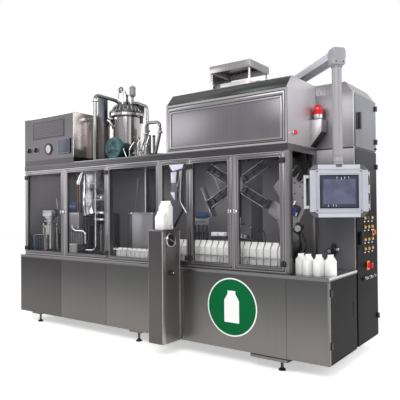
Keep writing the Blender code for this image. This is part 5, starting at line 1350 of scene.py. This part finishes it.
def make_regulator():
    face = CABINET_FRONT - 0.002
    parts = [plate((1.858, face - 0.045, 1.06), (1.905, face - 0.0005, 1.125), BLACK, 0.004),
        turned((1.8815, face - 0.024, 1.06), [(0.01, -0.03), (0.018, -0.026), (0.018, -0.004),
        (0.014, 0.001)], BLACK, "z", 20), turned((1.8815, face - 0.024, 1.125),
        [(0.014, -0.001), (0.018, 0.003), (0.018, 0.022), (0.013, 0.026)], BLACK, "z", 20),
        *dial((1.842, face - 0.034, 1.078), 0.024), plate((1.828, face - 0.034, 1.07),
        (1.859, face - 0.01, 1.09), BRIGHT, 0.003), plate((1.904, face - 0.03, 1.08),
        (1.94, face - 0.01, 1.106), BRIGHT, 0.003)]
    fixed("air_regulator", "black_plastic", *parts)


# Cartons, magazine and disc

FIN_HEIGHT = 0.018


def gable_carton(place, wide, deep, body, ridge):
    """One gable-top carton: a square body, two sloped roof panels, ends folded in and a sealed fin."""
    fin = 0.0024
    bpy.ops.mesh.primitive_cube_add(size=1, location=(0, 0, 0.5))
    thing = settle(bpy.context.object)
    roof = [face.index for face in thing.data.polygons if face.normal.z > 0.9]
    pick_faces(thing, roof)
    bpy.ops.mesh.extrude_region_move(TRANSFORM_OT_translate={"value": (0, 0, 1)})
    bpy.ops.mesh.extrude_region_move(TRANSFORM_OT_translate={"value": (0, 0, 1)})
    leave_mesh()
    levels = (0, body, ridge - FIN_HEIGHT, ridge)
    for spot in thing.data.vertices:
        step = round(spot.co.z)
        across = deep / 2 if step < 2 else fin / 2
        spot.co = (spot.co.x * wide, math.copysign(across, spot.co.y), levels[step])
    thing.data.update()
    ends = [face for face in thing.data.polygons if abs(face.normal.x) > 0.9]
    pick_faces(thing, [face.index for face in ends if body < face.center.z < ridge - FIN_HEIGHT])
    bpy.ops.mesh.inset(thickness=0.0012, depth=-0.009, use_individual=True)
    leave_mesh()
    thing.data.transform(Matrix.Translation(place))
    rounded(thing, 0.0009, 2)
    return coat(thing, "carton_board")


def make_cartons():
    full = gable_carton((0, 0, 0), 0.066, 0.0775, 0.168, 0.2348)
    empty = gable_carton((0, 0, 0), 0.066, 0.0775, 0.075, 0.105)
    row = []
    for i in range(29):
        x = -0.7405 + 0.0397 + 0.0795 * i
        row.append(moved(empty if x < 0.1 else full, (x, -0.26555, 0.9355)))
    fixed("conveyor_cartons", "carton_board", *row, replaces=("carton_row",))
    second = gable_carton((0, 0, 0), 0.074, 0.074, 0.132, 0.1898)
    swung(second, (0, 0, 0), "Z", math.radians(68))
    spots = ((1.764, -0.37), (1.85, -0.402), (1.953, -0.402), (2.051, -0.372))
    end = [moved(second, (*spot, 0.9004)) for spot in spots]
    fixed("table_cartons", "carton_board", *end, replaces=("outfeed_cartons",))
    for spare in (full, empty, second):
        bpy.data.objects.remove(spare)
    tall = gable_carton((0.3505, -0.6425, 1.3005), 0.13, 0.075, 0.2325, 0.2965)
    short = gable_carton((0.3605, -0.723, 1.3005), 0.114, 0.076, 0.13, 0.19)
    fixed("magazine_carton_pair", "carton_board", tall, short, replaces=("magazine_cartons",))


def make_magazine():
    right, left, front, back = 0.4705, 0.2805, -0.8395, -0.5558
    port = (right + 0.0201, -0.7305, 1.193)
    ring = turned(port, [(0.075, 0.0003), (0.075, 0.006), (0.072, 0.01), (0.061, 0.01), (0.059, 0.004)],
        "polished_steel", "x", 36)
    disc = turned(port, [(0.0592, 0.0042), (0.0592, 0.0052), (0.02, 0.0046)], BLACK, "x", 36)
    bar = plate((port[0] + 0.005, port[1] - 0.059, port[2] - 0.004),
        (port[0] + 0.009, port[1] + 0.059, port[2] + 0.004), BRIGHT, 0.001)
    swung(bar, port, "X", math.radians(-22))
    hub = turned(port, [(0.011, 0.005), (0.011, 0.0095), (0.007, 0.0105)], CAST, "x", 20)
    fixed("magazine_port", "polished_steel", ring, disc, bar, hub)
    knob = (right, -0.7155, 0.858)
    lobes = turned(knob, [(0.026, 0.012), (0.0278, 0.016), (0.0278, 0.032), (0.024, 0.038), (0.01, 0.0398)],
        BLACK, "x", 10, 20)
    hub = turned(knob, [(0.011, 0.0004), (0.011, 0.012)], DARK, "x", 20)
    cap = turned(knob, [(0.01, 0.0385), (0.008, 0.0402)], WHITE, "x", 20)
    fit("magazine_clamp_knob", "clamp_knob", "black_plastic", lobes, hub, cap, replaces=("magazine_knob",))
    # The hood_edge strip on the box's front corner is a painted highlight.
    rim = [plate((left - 0.002, front - 0.002, 1.286), (right + 0.002, front + 0.001, 1.302), "frame_level",
        0.001), plate((right - 0.001, front - 0.002, 1.286), (right + 0.002, back, 1.302), "frame_level",
        0.001), plate((left - 0.002, front - 0.002, 0.141), (left + 0.006, front + 0.001, 1.286),
        "table_sheet", 0.001), plate((right - 0.006, front - 0.002, 0.141),
        (right + 0.002, front + 0.052, 1.286), "hood_edge", 0.001),
        plate((right - 0.001, back - 0.012, 0.141), (right + 0.002, back, 1.286), "end_sheet", 0.001)]
    fixed("magazine_edges", "base_steel", *rim)
    # A darker sheet over the front face: painted shade, beside the lit side.
    fixed("magazine_front_sheet", "base_steel", plate((left, front - 0.0012, 0.143),
        (right, front - 0.0002, 1.286), "magazine_front", 0))
    fixed("magazine_flange", "base_steel", plate((right + 0.002, back - 0.002, 0.141),
        (right + 0.052, back - HAIR, 0.868), "table_sheet", 0.0005))
    rails = [pipe([(0.29, -0.66, 1.302), (0.29, -0.66, 1.34), (0.46, -0.66, 1.34), (0.46, -0.66, 1.302)],
        0.004, BRIGHT, 0.015)]
    fixed("magazine_carton_stop", "polished_steel", *rails)


def make_disc():
    """A green disc in a white ring, with only the outline of a carton on it."""
    x, z = 1.11, 0.548
    ring = turned((x, BASE_FACE - HAIR, z), [(0.285, 0), (0.285, 0.0012)], WHITE, "-y", 72)
    green = turned((x, BASE_FACE - 0.0014, z), [(0.272, 0), (0.272, 0.0006)], "green_disc", "-y", 72)
    carton = outline_sheet([(x - 0.085, z - 0.15), (x + 0.085, z - 0.15), (x + 0.085, z + 0.065),
        (x + 0.045, z + 0.13), (x + 0.045, z + 0.16), (x - 0.045, z + 0.16), (x - 0.045, z + 0.13),
        (x - 0.085, z + 0.065)], 0.0006, WHITE, "xz", BASE_FACE - 0.0024, 0)
    fixed("plain_disc", "teal_paint", ring, green, carton)


# The works behind the doors

WORKS_LINE = -0.155
WHEEL = (0.85354, 0.0, 1.77)
ARM_REACH = 0.455


def wheel_arm():
    """One mandrel arm along +X: two rails on a dark core, cross bars and an end plate. The thin bright strip
    on each rail is a painted highlight.
    """
    x, z = WHEEL[0], WHEEL[2]
    parts = [plate((x + 0.07, -0.02, z - 0.028), (x + ARM_REACH - 0.05, 0.03, z + 0.028), DARK, 0.004)]
    for side in (-1, 1):
        middle = z + side * 0.045
        parts.append(plate((x + 0.1, -0.048, middle - 0.008),
            (x + ARM_REACH - 0.03, -0.026, middle + 0.008), DARK, 0.003))
        parts.append(plate((x + 0.11, -0.0503, middle + side * 0.004 - 0.002),
            (x + ARM_REACH - 0.04, -0.047, middle + side * 0.004 + 0.002), BRIGHT, 0.0008))
    for reach in (0.13, 0.24, 0.35):
        parts.append(plate((x + reach - 0.008, -0.04, z - 0.048), (x + reach + 0.008, -0.012, z + 0.048),
            DARK, 0.003))
    parts.append(plate((x + ARM_REACH - 0.03, -0.046, z - 0.05), (x + ARM_REACH - 0.012, 0.042, z + 0.05),
        DARK, 0.004))
    return joined(*parts)


def make_mandrel_wheel():
    arms = ring_of(wheel_arm(), 6, WHEEL, "Y", math.radians(30))
    x, z = WHEEL[0], WHEEL[2]
    rings = [(0.035, -0.05), (0.045, -0.046), (0.045, -0.034), (0.075, -0.03), (0.082, -0.026),
        (0.082, -0.01), (0.095, -0.006), (0.1, -0.002), (0.1, 0.04), (0.09, 0.046), (0.06, 0.05),
        (0.06, 0.1), (0.04, 0.1035)]
    hub = turned((x, 0, z), rings, CAST, "y", 40)
    bolt = turned((x + 0.06, -0.03, z), [(0.007, 0), (0.007, 0.005), (0.004, 0.006)], BRIGHT, "-y", 6, 20)
    bolts = ring_of(bolt, 6, WHEEL, "Y", 0.2)
    fit("mandrel_wheel_unit", "wheel", "polished_steel", *arms, hub, *bolts, replaces=("mandrel_wheel",))


def make_sealing_head():
    """The slanted plate that carries the sealing gear, with its sockets, display, connector and leads."""
    y = 0.06
    outline = [(1.385, 1.93), (1.4386, 1.887), (1.608, 1.746), (1.6146, 1.633), (1.607, 1.49),
        (1.528, 1.326), (1.565, 1.204), (1.509, 1.15), (1.4, 1.22), (1.315, 1.26), (1.293, 1.376),
        (1.35, 1.43), (1.355, 1.58), (1.25, 1.737), (1.346, 1.85)]
    parts = [outline_sheet(outline, 0.02, "head_grey", "xz", y + 0.012, 0.002),
        outline_sheet([(1.34, 2.09), (1.645, 2.09), (1.645, 1.86), (1.61, 1.75), (1.44, 1.89),
        (1.34, 1.96)], 0.03, DARK, "xz", y + 0.05, 0.003)]
    anvil = outline_sheet([(1.175, 1.47), (1.265, 1.59), (1.345, 1.53), (1.345, 1.41), (1.293, 1.385)],
        0.03, "purple_grey", "xz", y + 0.02, 0.003)
    parts.append(anvil)
    for x, z in ((1.455, 1.8), (1.5, 1.77), (1.56, 1.73), (1.585, 1.62), (1.5, 1.66), (1.43, 1.4),
            (1.46, 1.25)):
        parts.append(turned((x, y + 0.003, z), [(0.009, 0), (0.009, 0.0012)], BLACK, "-y", 14))
    for i in range(5):
        x, z = 1.475 + 0.028 * i, 1.885 - 0.024 * i
        socket = turned((x, y - 0.004, z), [(0.011, -0.03), (0.011, 0.03), (0.005, 0.035), (0.003, 0.038),
            (0.003, 0.085)], BLACK if i % 2 else CAST, "z", 12)
        parts.append(swung(socket, (x, y, z), "Y", 0.62))
    display = [plate((1.478, y - 0.03, 1.428), (1.556, y + 0.004, 1.536), BLACK, 0.004),
        plate((1.49, y - 0.032, 1.446), (1.528, y - 0.029, 1.52), "blue_display", 0.001),
        plate((1.535, y - 0.032, 1.436), (1.553, y - 0.029, 1.474), "dial_face", 0.001),
        plate((1.462, y - 0.02, 1.528), (1.48, y - 0.004, 1.572), WHITE, 0.002)]
    parts += [swung(part, (1.517, y, 1.482), "Y", 0.45) for part in display]
    block = [plate((1.5, y - 0.035, 1.25), (1.585, y + 0.004, 1.352), BLACK, 0.006),
        turned((1.545, y - 0.034, 1.305), [(0.033, 0), (0.033, 0.01), (0.023, 0.012), (0.021, 0.004)],
        "dial_face", "-y", 24)]
    parts += [swung(part, (1.54, y, 1.3), "Y", 0.5) for part in block]
    fixed("sealing_head", "base_steel", *parts)
    leads = [pipe([(1.575, y - 0.02, 1.262), (1.625, y - 0.02, 1.19), (1.64, y - 0.02, 1.11),
        (1.6, y - 0.02, 1.05), (1.54, y, 1.04)], 0.008, BLACK, 0.05),
        pipe([(1.555, y - 0.02, 1.25), (1.568, y - 0.02, 1.15), (1.55, y - 0.02, 1.07), (1.5, y, 1.05)],
        0.008, BLACK, 0.05), pipe([(1.462, y - 0.012, 1.56), (1.485, y - 0.015, 1.625)], 0.004, BLACK),
        plate((1.4, y, 0.94), (1.56, y + 0.03, 1.16), DARK, 0.003)]
    for i in range(4):
        x = 1.575 + 0.018 * i
        leads.append(pipe([(x, y - 0.01 * i, 2.095), (x + 0.004, y, 1.97), (x - 0.015, y, 1.88),
            (1.585, y + 0.006, 1.78)], 0.008, BLACK, 0.05))
    fixed("sealing_head_leads", "black_plastic", *leads)


def make_valve_cluster():
    y = WORKS_LINE
    parts = [plate((0.335, y - 0.03, 1.145), (0.575, y + 0.03, 1.155), DARK, 0.002),
        plate((0.35, y - 0.02, 1.33), (0.575, y + 0.02, 1.405), CAST, 0.004),
        plate((0.36, y - 0.0245, 1.361), (0.53, y - 0.0195, 1.371), "teal_paint", 0.001),
        turned((0.4, y, 1.44), [(0.03, 0), (0.036, 0.006), (0.036, 0.13), (0.03, 0.14), (0.018, 0.142),
        (0.018, 0.18)], "blue_paint", "x", 24), turned((0.355, y - 0.01, 1.406),
        [(0.014, 0), (0.018, 0.004), (0.018, 0.085), (0.012, 0.095), (0.012, 0.11)], BRIGHT, "z", 18),
        turned((0.365, y - 0.03, 1.365), [(0.014, 0), (0.014, 0.006), (0.01, 0.007)], WHITE, "-y", 18)]
    parts += stud_row((0.365, y, 1.155), 0.055, 4,
        [(0.02, 0), (0.02, 0.05), (0.024, 0.052), (0.024, 0.1), (0.012, 0.105), (0.012, 0.176)],
        (DARK, BLACK))
    for low_x in (0.62, 0.715):
        parts.append(plate((low_x, y - 0.04, 1.215), (low_x + 0.078, y + 0.02, 1.255), WHITE, 0.004))
    parts.append(plate((0.6, y - 0.03, 1.18), (0.81, y + 0.03, 1.2145), DARK, 0.003))
    parts.append(plate((0.605, y - 0.01, 0.94), (0.63, y + 0.015, 1.182), DARK, 0.002))
    parts.append(plate((0.335, y - 0.015, 0.94), (0.36, y + 0.01, 1.147), DARK, 0.002))
    fixed("valve_cluster", "polished_steel", *parts)


def make_right_bay_fittings():
    y = WORKS_LINE
    parts = [plate((0.965, y - 0.02, 1.17), (1.175, y + 0.02, 1.2), DARK, 0.003)]
    parts += stud_row((0.985, y, 1.2), 0.042, 5, [(0.012, 0), (0.012, 0.016), (0.008, 0.018),
        (0.008, 0.034)], (BRIGHT, BRIGHT, BLACK, BLACK, BLACK), 14)
    parts.append(turned((1.112, y - 0.012, 1.312), [(0.02, 0), (0.02, 0.008), (0.01, 0.012)], BLACK, "-y",
        20))
    parts.append(turned((1.112, y - 0.0245, 1.312), [(0.007, 0), (0.007, 0.002)], WHITE, "-y", 20))
    parts.append(plate((1.103, y - 0.01, 1.2), (1.121, y + 0.005, 1.312), DARK, 0.002))
    parts.append(pipe([(1.158, y, 1.2), (1.162, y, 1.285), (1.262, y, 1.285), (1.272, y, 1.15)], 0.006,
        BLACK, 0.05))
    parts.append(rod(0.9315, -0.1, 2.09, 1.415, 0.007, "rod_bronze"))
    parts.append(rod(0.9315, -0.1, 1.42, 1.3, 0.014, BRIGHT))
    parts.append(plate((0.972, y - 0.012, 0.94), (0.998, y + 0.012, 1.172), DARK, 0.002))
    fixed("right_bay_fittings", "polished_steel", *parts)


def make_infeed_chute():
    """The bent bright chute behind the narrow window, with its rails."""
    y = -0.2
    top = outline_sheet([(0.02, 2.045), (0.255, 2.065), (0.232, 1.975), (0.08, 1.95), (0.05, 1.995)], 0.004,
        "chute_sheet", "xz", y, 0.001)
    panes = [outline_sheet([(0.058, 1.937), (0.144, 1.943), (0.132, 1.815), (0.06, 1.815)], 0.004,
        "chute_sheet", "xz", y, 0.001),
        outline_sheet([(0.176, 1.945), (0.2, 1.948), (0.158, 1.775), (0.138, 1.775)], 0.004, "chute_sheet",
        "xz", y + 0.01, 0.001), outline_sheet([(0.048, 1.704), (0.118, 1.704), (0.118, 1.61),
        (0.078, 1.66)], 0.004, "chute_sheet", "xz", y, 0.001)]
    back = outline_sheet([(0.03, 1.99), (0.17, 1.97), (0.19, 1.5), (0.06, 1.3), (0.03, 1.3)], 0.05,
        "blue_grey", "xz", y + 0.06, 0.004)
    rails = [pipe([(0.215, y, 1.96), (0.19, y, 1.6), (0.3, y + 0.02, 1.42)], 0.006, BRIGHT, 0.05),
        pipe([(0.175, y, 1.95), (0.15, y, 1.62)], 0.005, DARK)]
    fixed("carton_chute", "polished_steel", top, *panes, back, *rails)
    slope = outline_sheet([(0.38, 1.985), (0.4, 1.985), (0.55, 1.68), (0.535, 1.67)], 0.2, "purple_grey",
        "xz", 0.22, 0.002)
    bar = pipe([(0.465, 0.16, 1.98), (0.68, 0.16, 1.85)], 0.008, BRIGHT)
    small = plate((0.455, 0.14, 1.97), (0.48, 0.19, 2.0), CAST, 0.003)
    guide = outline_sheet([(0.3, 1.76), (0.312, 1.76), (0.47, 1.43), (0.455, 1.42)], 0.1, BRIGHT, "xz", 0.1,
        0.002)
    fixed("chute_guides", "polished_steel", slope, bar, small, guide)


def make_grey_hopper():
    """The folded grey box in the third bay, its lip and rod."""
    low, high = (-0.607, -0.155, 0.92), (-0.264, 0.245, 1.465)
    box = tray(low, high, 0.012, 0.4, "hopper_sheet", "z", 0.004)
    lip = window_ring(low[0] - 0.012, high[0] + 0.012, 1.455, 1.475,
        (low[0] + 0.01, high[0] - 0.01, 1.46, 1.471), -0.17, -0.155, (0.001, 0))
    coat(lip, BRIGHT)
    side = plate((-0.86, 0.02, 0.94), (-0.66, 0.08, 1.45), "blue_grey", 0.004)
    side_lip = plate((-0.87, 0.01, 1.45), (-0.65, 0.09, 1.458), CAST, 0.002)
    bar = rod(-0.475, -0.05, 2.05, 1.1, 0.008, BRIGHT)
    column = plate((-0.78, 0.3, 1.46), (-0.62, 0.36, 2.05), DARK, 0.004)
    braces = [pipe([(-0.98, 0.35, 1.93), (-0.7, 0.35, 1.98)], 0.007, CAST),
        pipe([(-0.98, 0.35, 1.93), (-1.08, 0.35, 1.1)], 0.007, CAST)]
    fixed("grey_hopper", "base_steel", box, lip, side, side_lip, bar, column, *braces)


def make_filling_works():
    """The second bay: curved bright duct, blue motor, grey box and the pipes."""
    y = WORKS_LINE
    # The duct's bright and dark blotches are painted highlights from its finish.
    duct = pipe([(-1.345, y, 2.05), (-1.345, y, 1.74), (-1.38, y, 1.6), (-1.33, y, 1.44)], 0.118,
        "duct_steel", 0.12)
    cuffs = [turned((-1.345, y, level), [(0.121, 0), (0.127, 0.003), (0.127, 0.012), (0.121, 0.015)],
        BRIGHT, "z", 32) for level in (1.85, 2.02)]
    cuffs += [turned((-1.33, y, 1.3 + 0.032 * i),
        [(0.085, 0), (0.112, 0.004), (0.112, 0.014), (0.085, 0.018)], DARK, "z", 32) for i in range(5)]
    cuffs.append(pipe([(-1.6, y, 1.86), (-1.545, y, 1.99), (-1.46, y, 2.04)], 0.036, "duct_steel", 0.06))
    branch = pipe([(-1.34, y, 1.665), (-1.1, y, 1.665)], 0.054, "duct_steel")
    tray_top = plate((-1.24, y - 0.04, 1.455), (-1.08, y + 0.04, 1.485), BRIGHT, 0.006)
    tray_low = plate((-1.26, y - 0.04, 1.37), (-1.08, y + 0.04, 1.395), BRIGHT, 0.006)
    black = [plate((-1.235, y + 0.01, 1.395), (-1.09, y + 0.1, 1.6), BLACK, 0.006),
        plate((-1.56, y + 0.12, 0.96), (-1.04, y + 0.22, 1.46), BLACK, 0.01),
        plate((-1.2, y - 0.02, 1.5), (-1.09, y + 0.04, 1.62), BLACK, 0.006),
        plate((-1.2, y - 0.02, 1.72), (-1.1, y + 0.04, 1.8), DARK, 0.006)]
    black += stud_row((-1.27, y + 0.05, 0.96), 0.05, 4,
        [(0.015, 0), (0.015, 0.22), (0.02, 0.222), (0.02, 0.26), (0.01, 0.265), (0.01, 0.36)], (DARK, CAST))
    black += stud_row((-1.53, y + 0.02, 1.1), 0.055, 3,
        [(0.017, 0), (0.017, 0.16), (0.022, 0.162), (0.022, 0.2), (0.012, 0.205), (0.012, 0.33)], (DARK,))
    rods = [rod(-1.624, y, 2.05, 1.47, 0.009, "rod_bronze"),
        rod(-1.577, y, 2.05, 1.47, 0.011, "rod_bronze"),
        pipe([(-1.65, y, 1.9), (-1.54, y, 1.9)], 0.012, BRIGHT)]
    motor = turned((-1.81, -0.1, 1.545), [(0.055, 0), (0.068, 0.006), (0.068, 0.12), (0.072, 0.125),
        (0.072, 0.15), (0.05, 0.16)], "blue_paint", "x", 28)
    saddle = plate((-1.84, -0.155, 1.472), (-1.6, -0.04, 1.485), "blue_paint", 0.003)
    box = plate((-1.8195, y - 0.03, 1.25), (-1.575, y + 0.1, 1.471), "purple_grey", 0.006)
    door = plate((-1.8, y - 0.033, 1.27), (-1.595, y - 0.0302, 1.452), CAST, 0.001)
    parts = [duct, *cuffs, branch, tray_top, tray_low, *black, *rods, motor, saddle, box, door]
    parts += stud_row((-1.8, y, 1.045), 0.052, 6,
        [(0.019, 0), (0.019, 0.16), (0.014, 0.165), (0.014, 0.205)], (CAST,))
    parts.append(plate((-1.825, y - 0.03, 1.03), (-1.5, y + 0.05, 1.046), DARK, 0.003))
    parts.append(turned((-1.66, -0.25, 0.93), [(0.09, 0), (0.095, 0.006), (0.095, 0.115), (0.088, 0.122)],
        WHITE, "z", 36))
    fixed("filling_bay_works", "polished_steel", *parts)
    y = -0.2
    drop = pipe([(-1.22, y, 2.05), (-1.22, y, 0.977), (-1.405, y, 0.977)], 0.0135, BRIGHT, 0.075)
    bend_pipe = pipe([(-1.69, y, 1.3), (-1.655, y, 1.228), (-1.425, y, 1.228), (-1.418, y, 1.06)], 0.0135,
        BRIGHT, 0.06)
    valve = [turned((-1.42, y, 0.945), [(0.016, 0), (0.016, 0.01), (0.024, 0.012), (0.024, 0.055),
        (0.015, 0.058), (0.015, 0.08), (0.022, 0.082), (0.022, 0.094), (0.0135, 0.098), (0.0135, 0.13)],
        DARK, "z", 18), clamp_ferrule(-1.22, y, 1.09, 0.0135), clamp_ferrule(-1.22, y, 1.78, 0.0135),
        clamp_ferrule(-1.418, y, 1.1, 0.0135), plate((-1.56, y - 0.01, 0.965), (-1.43, y + 0.01, 0.99),
        DARK, 0.004)]
    fixed("filling_pipes", "polished_steel", drop, bend_pipe, *valve)


PISTON_PLACE = (-2.04046, -0.2955)


def make_filling_head():
    """The piston rides up and down in the cylinder, which keeps its ties and clamps."""
    x, y = PISTON_PLACE
    rings = [(0.045, 0.981), (0.045, 1.345), (0.088, 1.35), (0.092, 1.354), (0.092, 1.366), (0.055, 1.372),
        (0.055, 1.396), (0.078, 1.402), (0.082, 1.408), (0.082, 1.42), (0.108, 1.426), (0.112, 1.432),
        (0.112, 1.508), (0.1, 1.5195)]
    fit("filling_piston_head", "piston", "polished_steel",
        turned((x, y, 0), rings, "polished_steel", "z", 40), replaces=("filling_piston",))
    ties = []
    for angle in (0.6, 2.2, 3.8, 5.4):
        tx, ty = x + 0.094 * math.cos(angle), y + 0.094 * math.sin(angle)
        ties.append(rod(tx, ty, 0.9005, 1.33, 0.007, BRIGHT))
        ties.append(turned((tx, ty, 1.3), [(0.012, 0), (0.012, 0.012), (0.007, 0.013)], BRIGHT, "z", 6, 20))
    fixed("filling_cylinder_ties", "polished_steel", *ties)
    manifold = [plate((x + 0.03, -0.1, 1.18), (x + 0.2, -0.06, 1.23), CAST, 0.004),
        plate((x - 0.2, -0.155, 0.93), (x - 0.1, -0.06, 1.22), "navy_paint", 0.01),
        plate((x - 0.08, -0.155, 0.93), (x + 0.16, -0.08, 1.17), DARK, 0.006)]
    manifold += stud_row((x - 0.05, -0.165, 0.95), 0.058, 4,
        [(0.018, 0), (0.018, 0.14), (0.022, 0.142), (0.022, 0.18), (0.014, 0.185)], (DARK,))
    manifold.append(plate((-2.275, -0.44, 0.93), (-2.175, -0.38, 1.17), "navy_paint", 0.01))
    manifold.append(plate((-2.27, -0.43, 1.17), (-1.9, -0.425, 1.18), CAST, 0.002))
    manifold += stud_row((-2.15, -0.425, 0.94), 0.058, 5,
        [(0.014, 0), (0.014, 0.15), (0.019, 0.152), (0.019, 0.18), (0.01, 0.185), (0.01, 0.23)],
        (DARK, DARK, DARK, CAST))
    tube = pipe([(x + 0.02, -0.2, 1.66), (x + 0.045, -0.2, 1.5), (x + 0.045, -0.2, 1.4),
        (x + 0.025, -0.2, 1.25), (x + 0.02, -0.175, 0.93)], 0.009, "arm_paint", 0.06)
    fixed("filling_manifold", "polished_steel", *manifold, tube)


def make_conveyor_rails():
    """Guide rails on their posts along both sides of the carton row."""
    parts = []
    for y in (-0.3275, -0.2035):
        parts.append(pipe([(-0.92, y, 1.02), (1.6, y, 1.02)], 0.005, BRIGHT))
        for i in range(8):
            x = -0.88 + 0.34 * i
            parts.append(rod(x, y, 0.936, 1.02, 0.004, BRIGHT))
    fixed("conveyor_guides", "polished_steel", *parts)


# Camera, lamps and floor

def make_camera():
    data = bpy.data.cameras.new("photo_view")
    data.lens = CAMERA_LENS
    data.sensor_width = 36.0
    camera = added("photo_view", data)
    turn = Matrix.Rotation(math.radians(CAMERA_YAW), 4, "Z")
    tilt = Matrix.Rotation(math.radians(90 + CAMERA_PITCH), 4, "X")
    roll = Matrix.Rotation(math.radians(CAMERA_ROLL), 4, "Z")
    camera.matrix_world = Matrix.Translation(CAMERA_PLACE) @ turn @ tilt @ roll
    bpy.context.scene.camera = camera


def make_lamp(name, place, target, size, power, seen=True):
    data = bpy.data.lights.new(name, "AREA")
    data.shape = "RECTANGLE"
    data.size, data.size_y = size
    data.energy = power
    lamp = added(name, data)
    lamp.visible_camera = seen
    lamp.visible_glossy = seen
    lamp.location = place
    lamp.rotation_euler = (Vector(target) - Vector(place)).to_track_quat("-Z", "Y").to_euler()


WORLD_LIGHT = 0.55
BACKDROP_LIGHT = 1.0
FLOOR_TONE = 0.9
FLOOR_GLOW = 0.45
MIDDLE = (0, 0, 1.2)


def make_studio():
    world = bpy.data.worlds.new("studio")
    bpy.context.scene.world = world
    world.use_nodes = True
    tree = world.node_tree
    back = tree.nodes["Background"]
    path = tree.nodes.new("ShaderNodeLightPath")
    seen = sum_up(tree, "MAXIMUM", path.outputs["Is Camera Ray"], path.outputs["Is Glossy Ray"])
    seen = sum_up(tree, "MAXIMUM", seen, path.outputs["Is Transmission Ray"])
    back.inputs["Color"].default_value = (1, 1, 1, 1)
    tree.links.new(spread(tree, seen, WORLD_LIGHT, BACKDROP_LIGHT), back.inputs["Strength"])
    make_lamp("key", (3.0, -6.0, 5.5), MIDDLE, (5.0, 3.0), 380)
    make_lamp("fill", (-6.0, -4.0, 3.5), MIDDLE, (4.0, 4.0), 160)
    make_lamp("end", (7.0, 1.5, 4.0), (1.5, 0, 1.4), (4.0, 4.0), 150)
    make_lamp("inside", (-0.35, -0.05, 2.03), (-0.35, -0.05, 1.0), (3.7, 0.6), 26, seen=False)
    bpy.ops.mesh.primitive_plane_add(size=60, location=(0, 0, 0))
    floor = bpy.context.object
    floor.name = "floor"
    made = bpy.data.materials.new("floor")
    made.use_nodes = True
    shader = made.node_tree.nodes["Principled BSDF"]
    shader.inputs["Base Color"].default_value = (FLOOR_TONE, FLOOR_TONE, FLOOR_TONE, 1)
    shader.inputs["Roughness"].default_value = 0.9
    shader.inputs["Emission Color"].default_value = (1, 1, 1, 1)
    shader.inputs["Emission Strength"].default_value = FLOOR_GLOW
    floor.data.materials.append(made)


def set_view():
    bpy.context.scene.view_settings.view_transform = "Standard"


finish_kept_solids()
make_guard_doors()
make_fixed_windows()
make_guard_profiles()
make_base_trim()
make_end_door()
make_feet()
make_hood()
make_bracket_cover()
make_beacon()
make_hood_button()
make_vent()
make_control_box()
make_tank_fittings()
make_pipework()
make_blower()
make_operator_panel()
make_arm()
make_cabinet_sheets()
make_cabinet_hardware()
make_lamps()
make_stop_and_isolator()
make_connectors()
make_regulator()
make_cartons()
make_magazine()
make_disc()
make_mandrel_wheel()
make_sealing_head()
make_valve_cluster()
make_right_bay_fittings()
make_infeed_chute()
make_grey_hopper()
make_filling_works()
make_filling_head()
make_conveyor_rails()
make_camera()
make_studio()
set_view()
